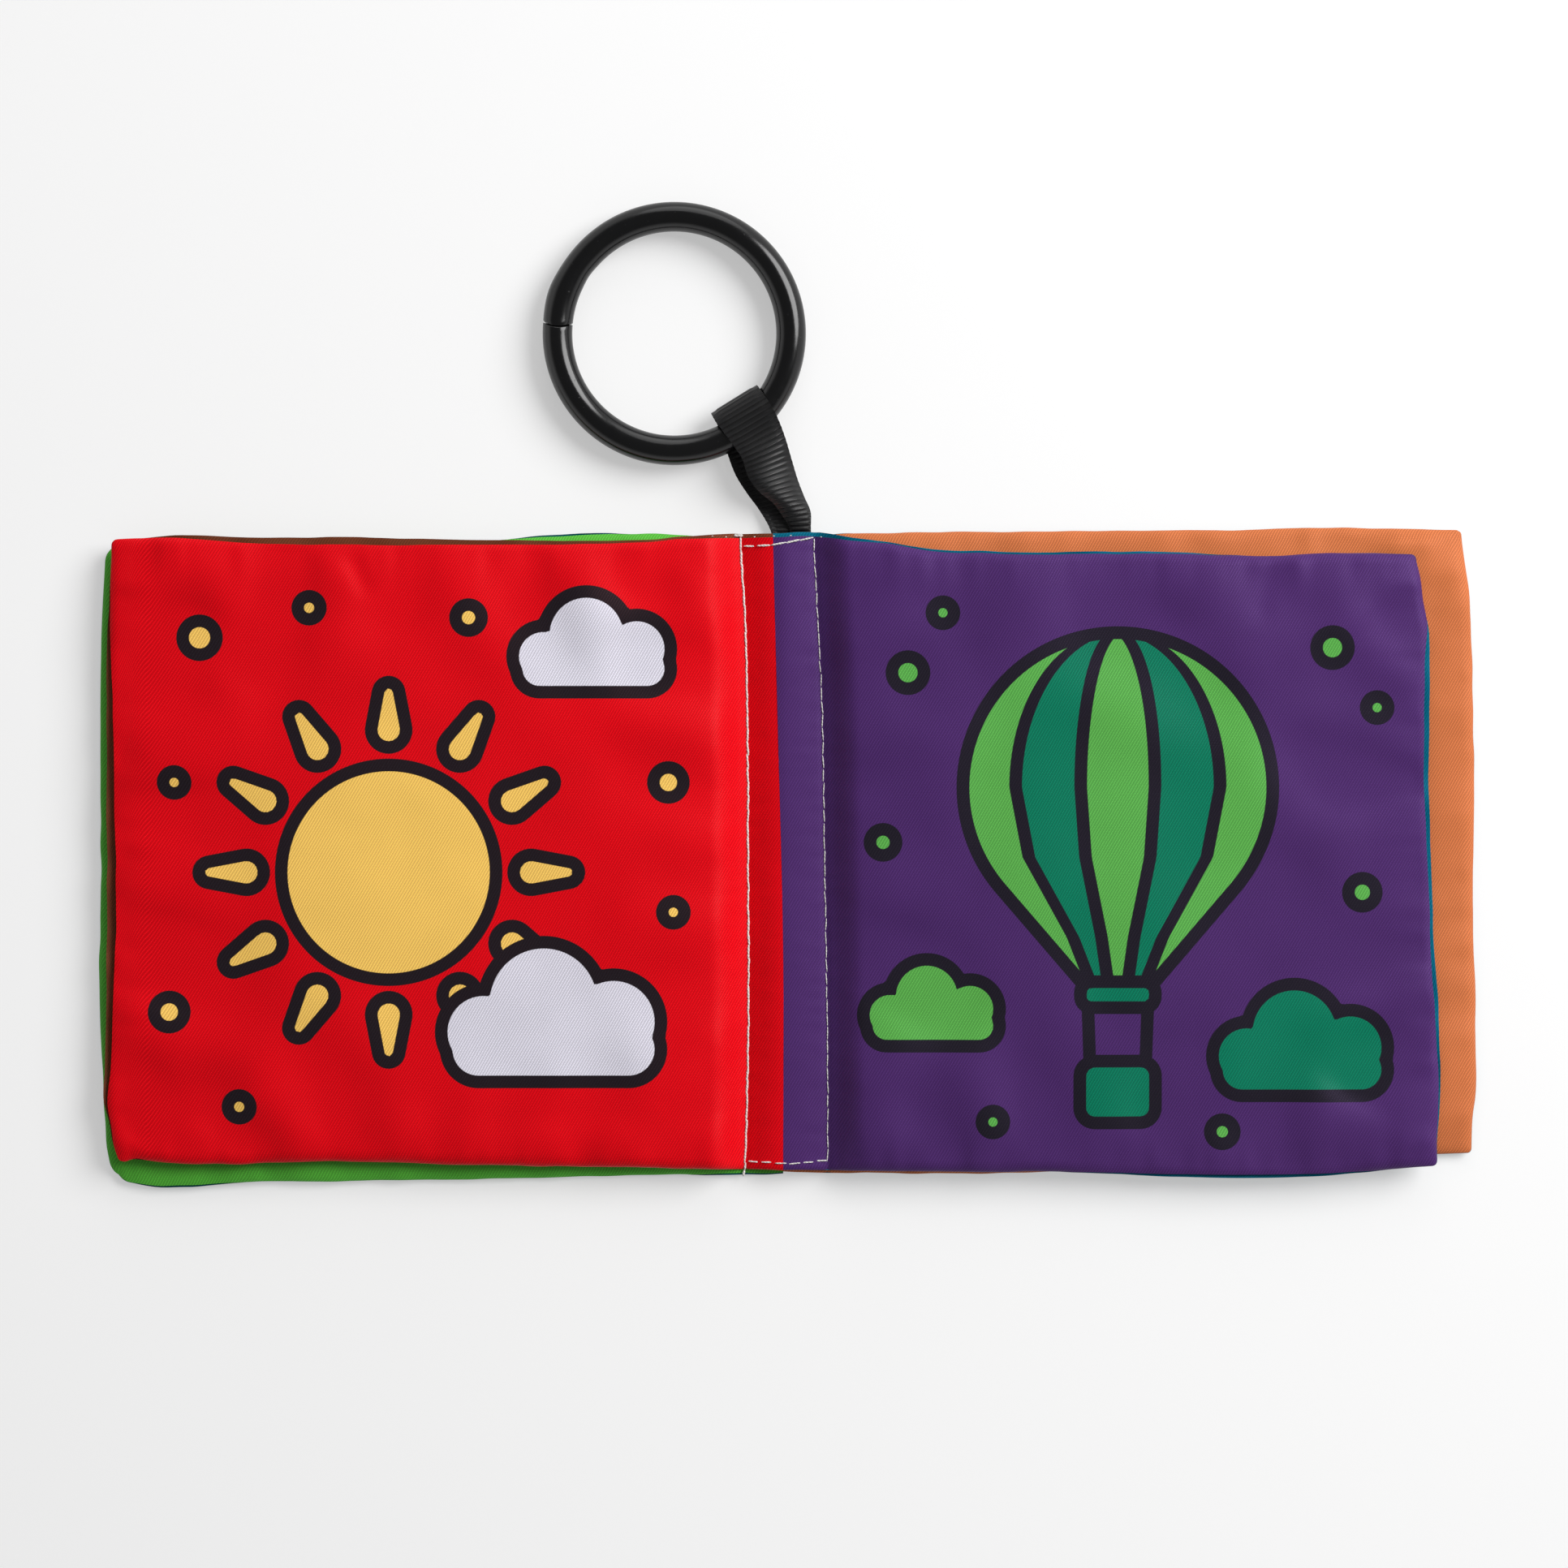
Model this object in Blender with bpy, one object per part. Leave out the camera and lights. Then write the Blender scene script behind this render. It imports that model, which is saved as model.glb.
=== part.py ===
# A soft crinkle book that lies open: two padded cloth sheets sewn together through a flat spine,
# with a split ring on a folded ribbon at the head of the spine.
# Metres, +Z up, +Y towards the head of the book, table surface at zero.
import math

import bmesh
import bpy
from mathutils import Matrix, Vector

# Layers of the sewn sheets
CLOTH = 0.0003
FILM = 0.00015
BATTING = 0.0017
THREAD = 0.00035
RIBBON = 0.0004
GAP = 0.0003

# Sewn spine: the long seams are this far apart, and the cloth runs a little past them
SEAM_SPACING = 0.0152
SPINE_MARGIN = 0.0009
SPINE_LENGTH = 0.1276
CROSS_SEAM_INSET = 0.0019

# Leaves: width from the spine, height, shift along the spine, and how far the foot of the free edge stands out
RED_PAGE_WIDTH = 0.1255
RED_PAGE_HEIGHT = 0.1249
RED_PAGE_SHIFT = 0.0002
RED_PAGE_SLANT = -0.0012
GREEN_COVER_WIDTH = 0.128
GREEN_COVER_HEIGHT = 0.129
GREEN_COVER_SHIFT = -0.0019
GREEN_COVER_SLANT = -0.0006
PURPLE_PAGE_WIDTH = 0.1206
PURPLE_PAGE_HEIGHT = 0.1232
PURPLE_PAGE_SHIFT = -0.0016
PURPLE_PAGE_SLANT = 0.0036
ORANGE_COVER_WIDTH = 0.1285
ORANGE_COVER_HEIGHT = 0.1247
ORANGE_COVER_SHIFT = 0.0019
ORANGE_COVER_SLANT = 0.0024

# Soft form of a leaf
PAGE_CROWN = 0.0008
COVER_CROWN = 0.0004
EDGE_ROLL = 0.006
SPINE_SLOPE = 0.012
DRAW_IN = 0.0008
CORNER_PULL = 0.0016
FILLING_INSET = 0.0072
FILLING_CORNER = 0.006
SEAM_INSET = 0.0009
SETTLE_SHARE = 0.3
LEAF_STEPS = 12
ZONE_STEPS = 3

# Split ring and the ribbon that holds it
RING_DIAMETER = 0.053
RING_TUBE = 0.006
RING_SLIT = 0.0003
RING_SLIT_BEARING = 174.0
RING_STEPS = 48
RING_SIDES = 12
RIBBON_WIDTH = 0.01
RIBBON_REACH = 0.0293
RIBBON_X = 0.002
RIBBON_LEAN = 24.4
RIBBON_SEWN_DEPTH = 0.011
RIBBON_STUB = 0.00035
RIBBON_TAIL = 0.0093
RING_BEARING = 42.7
FOLD_SLACK = 0.0031
LOOP_CLEARANCE = 0.00045
BEND_GAP = 0.00066
BEND_STEPS = 8
TAPER_STEPS = 4
LOOP_JOIN = 0.002

# Clearance of a hinge axis above or below the stack that turns about it
HINGE_CLEARANCE = 0.0002

# Heights of the layers in the spine, from the table upwards
SPINE_OUTER_BACK = THREAD + GAP
SPINE_OUTER_FRONT = SPINE_OUTER_BACK + CLOTH + GAP
SPINE_RIBBON = SPINE_OUTER_FRONT + CLOTH + GAP
SPINE_INNER_BACK = SPINE_RIBBON + 2 * RIBBON + GAP
SPINE_INNER_FRONT = SPINE_INNER_BACK + CLOTH + GAP
SPINE_TOP_SEAM = SPINE_INNER_FRONT + CLOTH + GAP

# Heights of the leaves
LEAF_FILLING = CLOTH + GAP + FILM + GAP + BATTING + GAP
COVER_BASE = 0.0
PAGE_BASE = COVER_BASE + LEAF_FILLING + CLOTH + COVER_CROWN + GAP
PAGE_TOP = PAGE_BASE + LEAF_FILLING + CLOTH + PAGE_CROWN

# Places that follow from the sizes
SPINE_HALF_LENGTH = SPINE_LENGTH / 2
SPINE_HALF_WIDTH = SEAM_SPACING / 2 + SPINE_MARGIN
LEAF_START = SPINE_HALF_WIDTH + GAP
HINGE_X = SPINE_HALF_WIDTH + GAP / 2
PAGE_HINGE_Z = PAGE_TOP + HINGE_CLEARANCE
COVER_HINGE_Z = COVER_BASE - HINGE_CLEARANCE / 2

# Ribbon and ring, measured from the middle of the book: the ribbon leans from the spine's head to its fold
RIBBON_MIDDLE_Z = SPINE_RIBBON + RIBBON
LOOP_HALF = RING_TUBE / 2 + LOOP_CLEARANCE + RIBBON
RING_Z = LOOP_HALF
ALONG = Vector((math.sin(math.radians(RIBBON_LEAN)), -math.cos(math.radians(RIBBON_LEAN)), 0))
ACROSS = Vector((-ALONG.y, ALONG.x, 0))
TAIL_FOOT = SPINE_HALF_LENGTH + RIBBON_STUB + BEND_GAP
FOLD = Vector((RIBBON_X, TAIL_FOOT, 0)) - RIBBON_REACH * ALONG
RING_WAY = Vector((-math.sin(math.radians(RING_BEARING)), math.cos(math.radians(RING_BEARING)), 0))
RING_CENTRE = FOLD + (RING_DIAMETER / 2 - RING_TUBE - FOLD_SLACK) * RING_WAY
BEND_AT = RIBBON_REACH - RIBBON_TAIL

# The origin lies under the middle of the whole, so the book sits towards -Y
HEAD = RING_CENTRE.y + RING_DIAMETER / 2
FOOT = GREEN_COVER_SHIFT - GREEN_COVER_HEIGHT / 2
BOOK_Y = -(HEAD + FOOT) / 2
BOOK = Vector((0, BOOK_Y, 0))

RED = (0.62, 0.012, 0.008)
GREEN = (0.06, 0.34, 0.03)
PURPLE = (0.095, 0.03, 0.17)
ORANGE = (0.62, 0.16, 0.05)
BROWN = (0.26, 0.06, 0.02)
BLUE_TEAL = (0.0, 0.18, 0.32)
DARK_TEAL = (0.0, 0.09, 0.13)
WHITE = (0.8, 0.79, 0.77)
PALE = (0.72, 0.74, 0.76)
BLACK = (0.01, 0.01, 0.012)


def clear_scene():
    for item in list(bpy.data.objects):
        bpy.data.objects.remove(item, do_unlink=True)


def make_material(name, colour, roughness, alpha=1.0):
    material = bpy.data.materials.new(name)
    material.use_nodes = True
    shader = material.node_tree.nodes["Principled BSDF"]
    shader.inputs["Base Color"].default_value = (*colour, 1)
    shader.inputs["Roughness"].default_value = roughness
    shader.inputs["Metallic"].default_value = 0
    shader.inputs["Alpha"].default_value = alpha
    return material


def add_empty(name, place, parent=None):
    empty = bpy.data.objects.new(name, None)
    bpy.context.collection.objects.link(empty)
    empty.location = place
    if parent:
        attach(empty, parent)
    return empty


def attach(item, parent):
    # Every parent is unturned and its own location is its world place, so this keeps the item where it is
    item.parent = parent
    item.matrix_parent_inverse = Matrix.Translation(parent.location).inverted()


def finish_object(name, mesh_data, colour, roughness, parent, smooth=True, alpha=1.0):
    mesh = bpy.data.meshes.new(name)
    bmesh.ops.recalc_face_normals(mesh_data, faces=mesh_data.faces)
    mesh_data.to_mesh(mesh)
    mesh_data.free()
    mesh.transform(Matrix.Translation(BOOK))
    if smooth:
        mesh.shade_smooth()
        mesh.set_sharp_from_angle(angle=math.radians(40))
    item = bpy.data.objects.new(name, mesh)
    bpy.context.collection.objects.link(item)
    mesh.materials.append(make_material(name, colour, roughness, alpha))
    attach(item, parent)
    return item


def add_block(name, low, high, colour, roughness, parent, corner=0.0, alpha=1.0):
    shape = bmesh.new()
    bmesh.ops.create_cube(shape, size=1)
    size = [top - bottom for bottom, top in zip(low, high)]
    middle = [(top + bottom) / 2 for bottom, top in zip(low, high)]
    bmesh.ops.scale(shape, vec=size, verts=shape.verts)
    bmesh.ops.translate(shape, vec=middle, verts=shape.verts)
    if corner:
        upright = [e for e in shape.edges if abs(e.verts[0].co.z - e.verts[1].co.z) > size[2] / 2]
        bmesh.ops.bevel(shape, geom=upright, offset=corner, segments=4, profile=0.5, affect="EDGES")
    return finish_object(name, shape, colour, roughness, parent, smooth=False, alpha=alpha)


def ease(share):
    # 0 to 1 with level ends
    share = min(max(share, 0), 1)
    return share * share * (3 - 2 * share)


def roll(distance):
    # Quarter round from a free edge to the full thickness
    share = min(max(distance / EDGE_ROLL, 0), 1)
    return math.sqrt(1 - (1 - share) ** 2)


class Leaf:
    # One padded leaf; u runs from the spine to the free edge, v from foot to head
    def __init__(self, name, side, width, height, shift, slant, page):
        self.name = name
        self.side = side
        self.width = width
        self.height = height
        self.shift = shift
        self.slant = slant
        self.base = PAGE_BASE if page else COVER_BASE
        self.crown = PAGE_CROWN if page else COVER_CROWN
        self.spine_front = SPINE_INNER_FRONT if page else SPINE_OUTER_FRONT
        self.spine_back = SPINE_INNER_BACK if page else SPINE_OUTER_BACK
        self.middle = self.base + (LEAF_FILLING + CLOTH) / 2

    def plan(self, u, v):
        settled = ease(u / SETTLE_SHARE)
        half = SPINE_HALF_LENGTH + (self.height / 2 - SPINE_HALF_LENGTH) * settled
        half -= DRAW_IN * math.sin(math.pi * u)
        pull = CORNER_PULL * abs(u * v) ** 16
        out = LEAF_START + self.width * u - self.slant / 2 * v * u - pull
        return self.side * out, self.shift * settled + v * (half - pull)

    def bulge(self, u, v):
        return roll(self.width * (1 - u)) * roll(self.height / 2 * (1 - abs(v)))

    def rise(self, u):
        return ease(self.width * u / SPINE_SLOPE)

    def front_inside(self, u, v):
        rim = self.middle + GAP / 2
        full = self.base + LEAF_FILLING
        puff = self.crown * (1 - (2 * u - 1) ** 2) * (1 - v * v)
        level = rim + (full - rim) * self.bulge(u, v) + puff
        return self.spine_front + (level - self.spine_front) * self.rise(u)

    def back_outside(self, u, v):
        rim = self.middle - GAP / 2 - CLOTH
        level = rim + (self.base - rim) * self.bulge(u, v)
        return self.spine_back + (level - self.spine_back) * self.rise(u)

    def seam_height(self, u):
        spine_middle = (self.spine_front + self.spine_back + CLOTH) / 2
        return spine_middle + (self.middle - spine_middle) * self.rise(u)


def from_edge(step):
    # Grid lines crowd towards a rolled edge, and the last of them lies where the roll ends
    return EDGE_ROLL * (1 - math.cos(math.pi / 2 * step / ZONE_STEPS))


def between(step, near, far):
    # Even grid lines between the two edge zones
    return near + (far - near) * (step - ZONE_STEPS) / (LEAF_STEPS - 2 * ZONE_STEPS)


def grid_line(step, length, near, near_at):
    if step < ZONE_STEPS:
        return near_at(step) / length
    if step > LEAF_STEPS - ZONE_STEPS:
        return 1 - from_edge(LEAF_STEPS - step) / length
    return between(step, near, length - EDGE_ROLL) / length


def slope_line(step):
    return SPINE_SLOPE * step / ZONE_STEPS


def add_leaf_cloth(leaf, face, height_at, colour, parent):
    shape = bmesh.new()
    made = bmesh.ops.create_grid(shape, x_segments=LEAF_STEPS, y_segments=LEAF_STEPS, size=1)
    for vert in made["verts"]:
        column = round((vert.co.x + 1) / 2 * LEAF_STEPS)
        row = round((vert.co.y + 1) / 2 * LEAF_STEPS)
        u = grid_line(column, leaf.width, SPINE_SLOPE, slope_line)
        v = 2 * grid_line(row, leaf.height, EDGE_ROLL, from_edge) - 1
        x, y = leaf.plan(u, v)
        vert.co = (x, y, height_at(u, v))
    upper = bmesh.ops.extrude_face_region(shape, geom=list(shape.faces))
    raised = [item for item in upper["geom"] if isinstance(item, bmesh.types.BMVert)]
    bmesh.ops.translate(shape, vec=(0, 0, CLOTH), verts=raised)
    return finish_object(leaf.name + face, shape, colour, 0.5, parent)


def add_leaf_filling(leaf, parent):
    inner = LEAF_START + SPINE_SLOPE
    outer = LEAF_START + leaf.width - FILLING_INSET
    near, far = sorted((leaf.side * inner, leaf.side * outer))
    half = leaf.height / 2 - FILLING_INSET
    foot = leaf.shift - half
    head = leaf.shift + half
    film = leaf.base + CLOTH + GAP
    batting = film + FILM + GAP
    add_block(leaf.name + "_crinkle_film", (near, foot, film), (far, head, film + FILM), PALE, 0.2, parent,
              FILLING_CORNER, alpha=0.6)
    add_block(leaf.name + "_batting", (near, foot, batting), (far, head, batting + BATTING), WHITE, 0.9, parent,
              FILLING_CORNER)


def add_tube(name, points, radius, sides, closed, colour, roughness, parent):
    # A round thread along the points; each ring of the tube stands across the way between its neighbours
    shape = bmesh.new()
    rings = []
    count = len(points)
    for index, point in enumerate(points):
        before = points[index - 1] if index or closed else point
        after = points[(index + 1) % count] if index + 1 < count or closed else point
        way = (after - before).normalized()
        turn = way.to_track_quat("Z", "Y").to_matrix().to_4x4()
        made = bmesh.ops.create_circle(shape, segments=sides, radius=radius,
                                       matrix=Matrix.Translation(point) @ turn)
        rings.append(made["verts"])
    pairs = list(zip(rings, rings[1:] + rings[:1])) if closed else list(zip(rings, rings[1:]))
    for first, second in pairs:
        for step in range(sides):
            after = (step + 1) % sides
            shape.faces.new((first[step], first[after], second[after], second[step]))
    if not closed:
        shape.faces.new(rings[0])
        shape.faces.new(rings[-1])
    return finish_object(name, shape, colour, roughness, parent)


def add_seam_thread(leaf, colour, parent):
    # The turned seam runs round the three free edges, just inside them
    start_share = SPINE_SLOPE / leaf.width
    end_share = 1 - SEAM_INSET / leaf.width
    edge_share = 1 - 2 * SEAM_INSET / leaf.height
    steps = LEAF_STEPS // 2
    route = [(start_share + (end_share - start_share) * i / steps, edge_share) for i in range(steps)]
    route += [(end_share, edge_share * (1 - 2 * i / steps)) for i in range(steps)]
    route += [(end_share + (start_share - end_share) * i / steps, -edge_share) for i in range(steps + 1)]
    points = [Vector((*leaf.plan(u, v), leaf.seam_height(u))) for u, v in route]
    add_tube(leaf.name + "_seam_thread", points, THREAD / 2, 6, False, colour, 0.7, parent)


def add_leaf(leaf, front_colour, back_colour, parent):
    add_leaf_cloth(leaf, "_front_cloth", leaf.front_inside, front_colour, parent)
    add_leaf_cloth(leaf, "_back_cloth", leaf.back_outside, back_colour, parent)
    add_leaf_filling(leaf, parent)
    add_seam_thread(leaf, front_colour, parent)


def add_spine(parent):
    layers = (
        ("spine_outer_back_cloth", SPINE_OUTER_BACK, DARK_TEAL),
        ("spine_outer_front_cloth", SPINE_OUTER_FRONT, GREEN),
        ("spine_inner_back_cloth", SPINE_INNER_BACK, BROWN),
        ("spine_inner_front_cloth", SPINE_INNER_FRONT, PURPLE),
    )
    for name, level, colour in layers:
        low = (-SPINE_HALF_WIDTH, -SPINE_HALF_LENGTH, level)
        high = (SPINE_HALF_WIDTH, SPINE_HALF_LENGTH, level + CLOTH)
        add_block(name, low, high, colour, 0.5, parent)
    across = SEAM_SPACING / 2
    up = SPINE_HALF_LENGTH - CROSS_SEAM_INSET
    for name, level in (("spine_back_stitching", THREAD / 2), ("spine_front_stitching", SPINE_TOP_SEAM + THREAD / 2)):
        corners = [Vector((x * across, y * up, level)) for x, y in ((-1, -1), (1, -1), (1, 1), (-1, 1))]
        add_tube(name, corners, THREAD / 2, 8, True, WHITE, 0.6, parent)


def add_ribbon_root(parent):
    half = RIBBON_WIDTH / 2 / math.cos(math.radians(RIBBON_LEAN))
    low = (RIBBON_X - half, SPINE_HALF_LENGTH - RIBBON_SEWN_DEPTH, SPINE_RIBBON)
    high = (RIBBON_X + half, SPINE_HALF_LENGTH + RIBBON_STUB, SPINE_RIBBON + 2 * RIBBON)
    add_block("ribbon_root", low, high, BLACK, 0.6, parent)


def to_ribbon_place(shape):
    # Local X runs down the ribbon from its fold, local Y across it
    turn = Matrix((ALONG, ACROSS, Vector((0, 0, 1)))).transposed().to_4x4()
    bmesh.ops.transform(shape, matrix=Matrix.Translation(FOLD) @ turn, verts=shape.verts)


def add_ribbon_tail(parent):
    # Both ends of the ribbon lie on each other here; the foot is cut level with the spine's head
    shape = bmesh.new()
    bmesh.ops.create_cube(shape, size=1)
    start = BEND_AT + BEND_GAP / 2
    end = RIBBON_REACH + RIBBON_WIDTH
    bmesh.ops.scale(shape, vec=(end - start, RIBBON_WIDTH, 2 * RIBBON), verts=shape.verts)
    bmesh.ops.translate(shape, vec=((start + end) / 2, 0, RIBBON_MIDDLE_Z), verts=shape.verts)
    to_ribbon_place(shape)
    everything = list(shape.verts) + list(shape.edges) + list(shape.faces)
    cut = bmesh.ops.bisect_plane(shape, geom=everything, plane_co=(0, TAIL_FOOT, 0), plane_no=(0, -1, 0),
                                 clear_outer=True)
    edges = [item for item in cut["geom_cut"] if isinstance(item, bmesh.types.BMEdge)]
    bmesh.ops.contextual_create(shape, geom=edges)
    return finish_object("ribbon_tail", shape, BLACK, 0.6, parent, smooth=False)


def loop_side(way):
    # Outer and inner points of one layer, from where the layers part to the start of the fold's round
    part = BEND_AT - BEND_GAP / 2 - LOOP_JOIN
    round_at = LOOP_HALF
    flat = round_at + RING_TUBE
    outer = []
    inner = []
    places = [part + (flat - part) * i / TAPER_STEPS for i in range(TAPER_STEPS + 1)] + [round_at]
    for along in places:
        height = layer_height(along, way)
        outer.append((along, height))
        inner.append((along, height - way * RIBBON))
    return outer, inner


def layer_height(along, way):
    # Outer surface of one layer: together at the bend, apart round the tube
    flat = LOOP_HALF + RING_TUBE
    share = ease((BEND_AT - BEND_GAP / 2 - along) / (BEND_AT - BEND_GAP / 2 - flat))
    together = RIBBON_MIDDLE_Z + way * RIBBON
    apart = RING_Z + way * LOOP_HALF
    return together + (apart - together) * share


def add_ribbon_loop(parent):
    upper_out, upper_in = loop_side(1)
    lower_out, lower_in = loop_side(-1)
    for index in range(1, BEND_STEPS):
        angle = math.pi / 2 + math.pi * index / BEND_STEPS
        way = Vector((math.cos(angle), math.sin(angle)))
        centre = Vector((LOOP_HALF, RING_Z))
        upper_out.append(tuple(centre + LOOP_HALF * way))
        upper_in.append(tuple(centre + (LOOP_HALF - RIBBON) * way))
    outer = upper_out + lower_out[::-1]
    inner = upper_in + lower_in[::-1]
    end = BEND_AT - BEND_GAP / 2
    tips = [(end, RIBBON_MIDDLE_Z - RIBBON), (end, RIBBON_MIDDLE_Z + RIBBON)]
    shape = bmesh.new()
    rails = []
    for across in (-RIBBON_WIDTH / 2, RIBBON_WIDTH / 2):
        rails.append([[shape.verts.new((x, across, z)) for x, z in line] for line in (outer, inner, tips)])
    for outside, inside, tip in rails:
        for i in range(len(outside) - 1):
            shape.faces.new((outside[i], outside[i + 1], inside[i + 1], inside[i]))
        shape.faces.new((outside[0], inside[0], inside[-1], outside[-1], tip[0], tip[1]))
    (out_a, in_a, tip_a), (out_b, in_b, tip_b) = rails
    round_a = out_a + tip_a
    round_b = out_b + tip_b
    for line_a, line_b in ((round_a, round_b), (in_a, in_b)):
        count = len(line_a)
        for i in range(count):
            after = (i + 1) % count
            shape.faces.new((line_a[i], line_a[after], line_b[after], line_b[i]))
    to_ribbon_place(shape)
    return finish_object("ribbon_loop", shape, BLACK, 0.6, parent)


def add_ring(parent):
    shape = bmesh.new()
    radius = (RING_DIAMETER - RING_TUBE) / 2
    slit_angle = RING_SLIT / radius
    start = math.radians(RING_SLIT_BEARING) + slit_angle / 2
    turn = Matrix.Rotation(start, 4, "Z") @ Matrix.Translation((radius, 0, 0)) @ Matrix.Rotation(math.pi / 2, 4, "X")
    made = bmesh.ops.create_circle(shape, cap_ends=True, segments=RING_SIDES, radius=RING_TUBE / 2, matrix=turn)
    geometry = list(made["verts"]) + list(shape.edges) + list(shape.faces)
    bmesh.ops.spin(shape, geom=geometry, cent=(0, 0, 0), axis=(0, 0, 1), angle=2 * math.pi - slit_angle,
                   steps=RING_STEPS, use_duplicate=False)
    place = RING_CENTRE + Vector((0, 0, RING_Z))
    bmesh.ops.translate(shape, vec=place, verts=shape.verts)
    return finish_object("split_ring", shape, BLACK, 0.25, parent)


def build():
    clear_scene()
    spine = add_empty("spine", BOOK)
    add_spine(spine)
    add_ribbon_root(spine)
    leaves = (
        ("left", -1, (RED_PAGE_WIDTH, RED_PAGE_HEIGHT, RED_PAGE_SHIFT, RED_PAGE_SLANT), (RED, BROWN),
         (GREEN_COVER_WIDTH, GREEN_COVER_HEIGHT, GREEN_COVER_SHIFT, GREEN_COVER_SLANT), (GREEN, DARK_TEAL)),
        ("right", 1, (PURPLE_PAGE_WIDTH, PURPLE_PAGE_HEIGHT, PURPLE_PAGE_SHIFT, PURPLE_PAGE_SLANT), (PURPLE, BLUE_TEAL),
         (ORANGE_COVER_WIDTH, ORANGE_COVER_HEIGHT, ORANGE_COVER_SHIFT, ORANGE_COVER_SLANT), (ORANGE, DARK_TEAL)),
    )
    for hand, side, page_sizes, page_colours, cover_sizes, cover_colours in leaves:
        page_hinge = add_empty(hand + "_page_hinge", BOOK + Vector((side * HINGE_X, 0, PAGE_HINGE_Z)), spine)
        cover_hinge = add_empty(hand + "_cover_hinge", BOOK + Vector((side * HINGE_X, 0, COVER_HINGE_Z)), page_hinge)
        add_leaf(Leaf(hand + "_page", side, *page_sizes, page=True), *page_colours, page_hinge)
        add_leaf(Leaf(hand + "_cover", side, *cover_sizes, page=False), *cover_colours, cover_hinge)
    swing_place = BOOK + Vector((RIBBON_X, TAIL_FOOT - BEND_GAP / 2, RIBBON_MIDDLE_Z))
    swing = add_empty("ribbon_swing_axis", swing_place, spine)
    add_ribbon_tail(swing)
    bend = add_empty("ribbon_bend_axis", BOOK + FOLD + BEND_AT * ALONG + Vector((0, 0, RIBBON_MIDDLE_Z)), swing)
    add_ribbon_loop(bend)
    spin = add_empty("ring_axis", BOOK + RING_CENTRE + Vector((0, 0, RING_Z)), bend)
    add_ring(spin)
    for empty in (spine, swing, bend, spin):
        print(empty.name, [round(value, 5) for value in empty.location])
    print("page hinge", round(HINGE_X, 5), round(BOOK_Y, 5), round(PAGE_HINGE_Z, 5))
    print("cover hinge", round(COVER_HINGE_Z, 5), "ribbon across", [round(value, 5) for value in ACROSS])


build()
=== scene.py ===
import math

import bpy
import numpy as np
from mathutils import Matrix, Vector


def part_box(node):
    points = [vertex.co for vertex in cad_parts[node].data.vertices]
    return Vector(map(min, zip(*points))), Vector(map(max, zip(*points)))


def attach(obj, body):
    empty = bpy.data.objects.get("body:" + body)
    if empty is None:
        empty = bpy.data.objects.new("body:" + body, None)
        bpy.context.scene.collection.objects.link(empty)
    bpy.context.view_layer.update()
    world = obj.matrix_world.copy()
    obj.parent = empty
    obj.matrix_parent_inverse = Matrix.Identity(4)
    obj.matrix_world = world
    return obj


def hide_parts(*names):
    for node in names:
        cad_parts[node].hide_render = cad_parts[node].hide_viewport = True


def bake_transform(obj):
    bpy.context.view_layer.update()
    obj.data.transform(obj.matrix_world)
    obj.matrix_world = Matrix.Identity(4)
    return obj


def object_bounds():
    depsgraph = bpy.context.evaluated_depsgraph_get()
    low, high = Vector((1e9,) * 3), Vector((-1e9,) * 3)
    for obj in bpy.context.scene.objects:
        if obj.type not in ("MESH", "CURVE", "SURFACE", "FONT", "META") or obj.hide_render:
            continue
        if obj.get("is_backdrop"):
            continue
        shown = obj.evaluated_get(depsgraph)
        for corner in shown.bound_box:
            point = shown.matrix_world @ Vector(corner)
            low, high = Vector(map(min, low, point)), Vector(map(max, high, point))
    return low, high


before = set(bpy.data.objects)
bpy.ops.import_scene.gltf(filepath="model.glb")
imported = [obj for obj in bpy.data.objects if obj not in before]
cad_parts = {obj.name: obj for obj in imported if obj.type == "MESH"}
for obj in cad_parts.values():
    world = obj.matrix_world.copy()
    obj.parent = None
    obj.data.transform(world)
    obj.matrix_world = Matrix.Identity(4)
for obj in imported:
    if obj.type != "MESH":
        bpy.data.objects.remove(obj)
cadBox = [list(corner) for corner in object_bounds()]
mm = 0.001

# The middle of the open book on the table, from the spine's own cloth
spineLow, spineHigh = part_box("spine_inner_front_cloth")
bookMiddle = np.array([(spineLow.x + spineHigh.x) / 2, (spineLow.y + spineHigh.y) / 2, 0])
clothThickness = (spineHigh.z - spineLow.z) / mm


# Camera and studio

studio = {
    "frameWidth": 0.31466,      # what the picture takes in, in metres, at the height of the pages
    "aim": (0.00016, -0.0185),
    "distance": 1.0,
    "pageHeight": 0.006,
    "sensor": 36.0,
    "keyDirection": (0.85, 0.52, 0.85),
    "keyDistance": 1.25,
    "keySize": 0.85,
    "keyPower": 16.5,
    "sideDirection": (0.1, 0.95, 0.5),
    "sideSize": 0.9,
    "sidePower": 3.0,
    "skyStrength": 0.21,
    "ceilingFrom": (0.35, 0.65),
    "floorSize": 6.0,
    "floorBounce": 0.8,
    "floorRoughness": 0.9,
    "floorOwn": 0.42,           # how much of its white the floor gives to the camera by itself
}


def addCamera():
    height = studio["pageHeight"] + studio["distance"]
    bpy.ops.object.camera_add(location=(*studio["aim"], height), rotation=(0, 0, 0))
    camera = bpy.context.object
    camera.data.sensor_width = studio["sensor"]
    camera.data.lens = studio["sensor"] * studio["distance"] / studio["frameWidth"]
    camera.data.clip_start = 0.05
    bpy.context.scene.camera = camera


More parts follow.
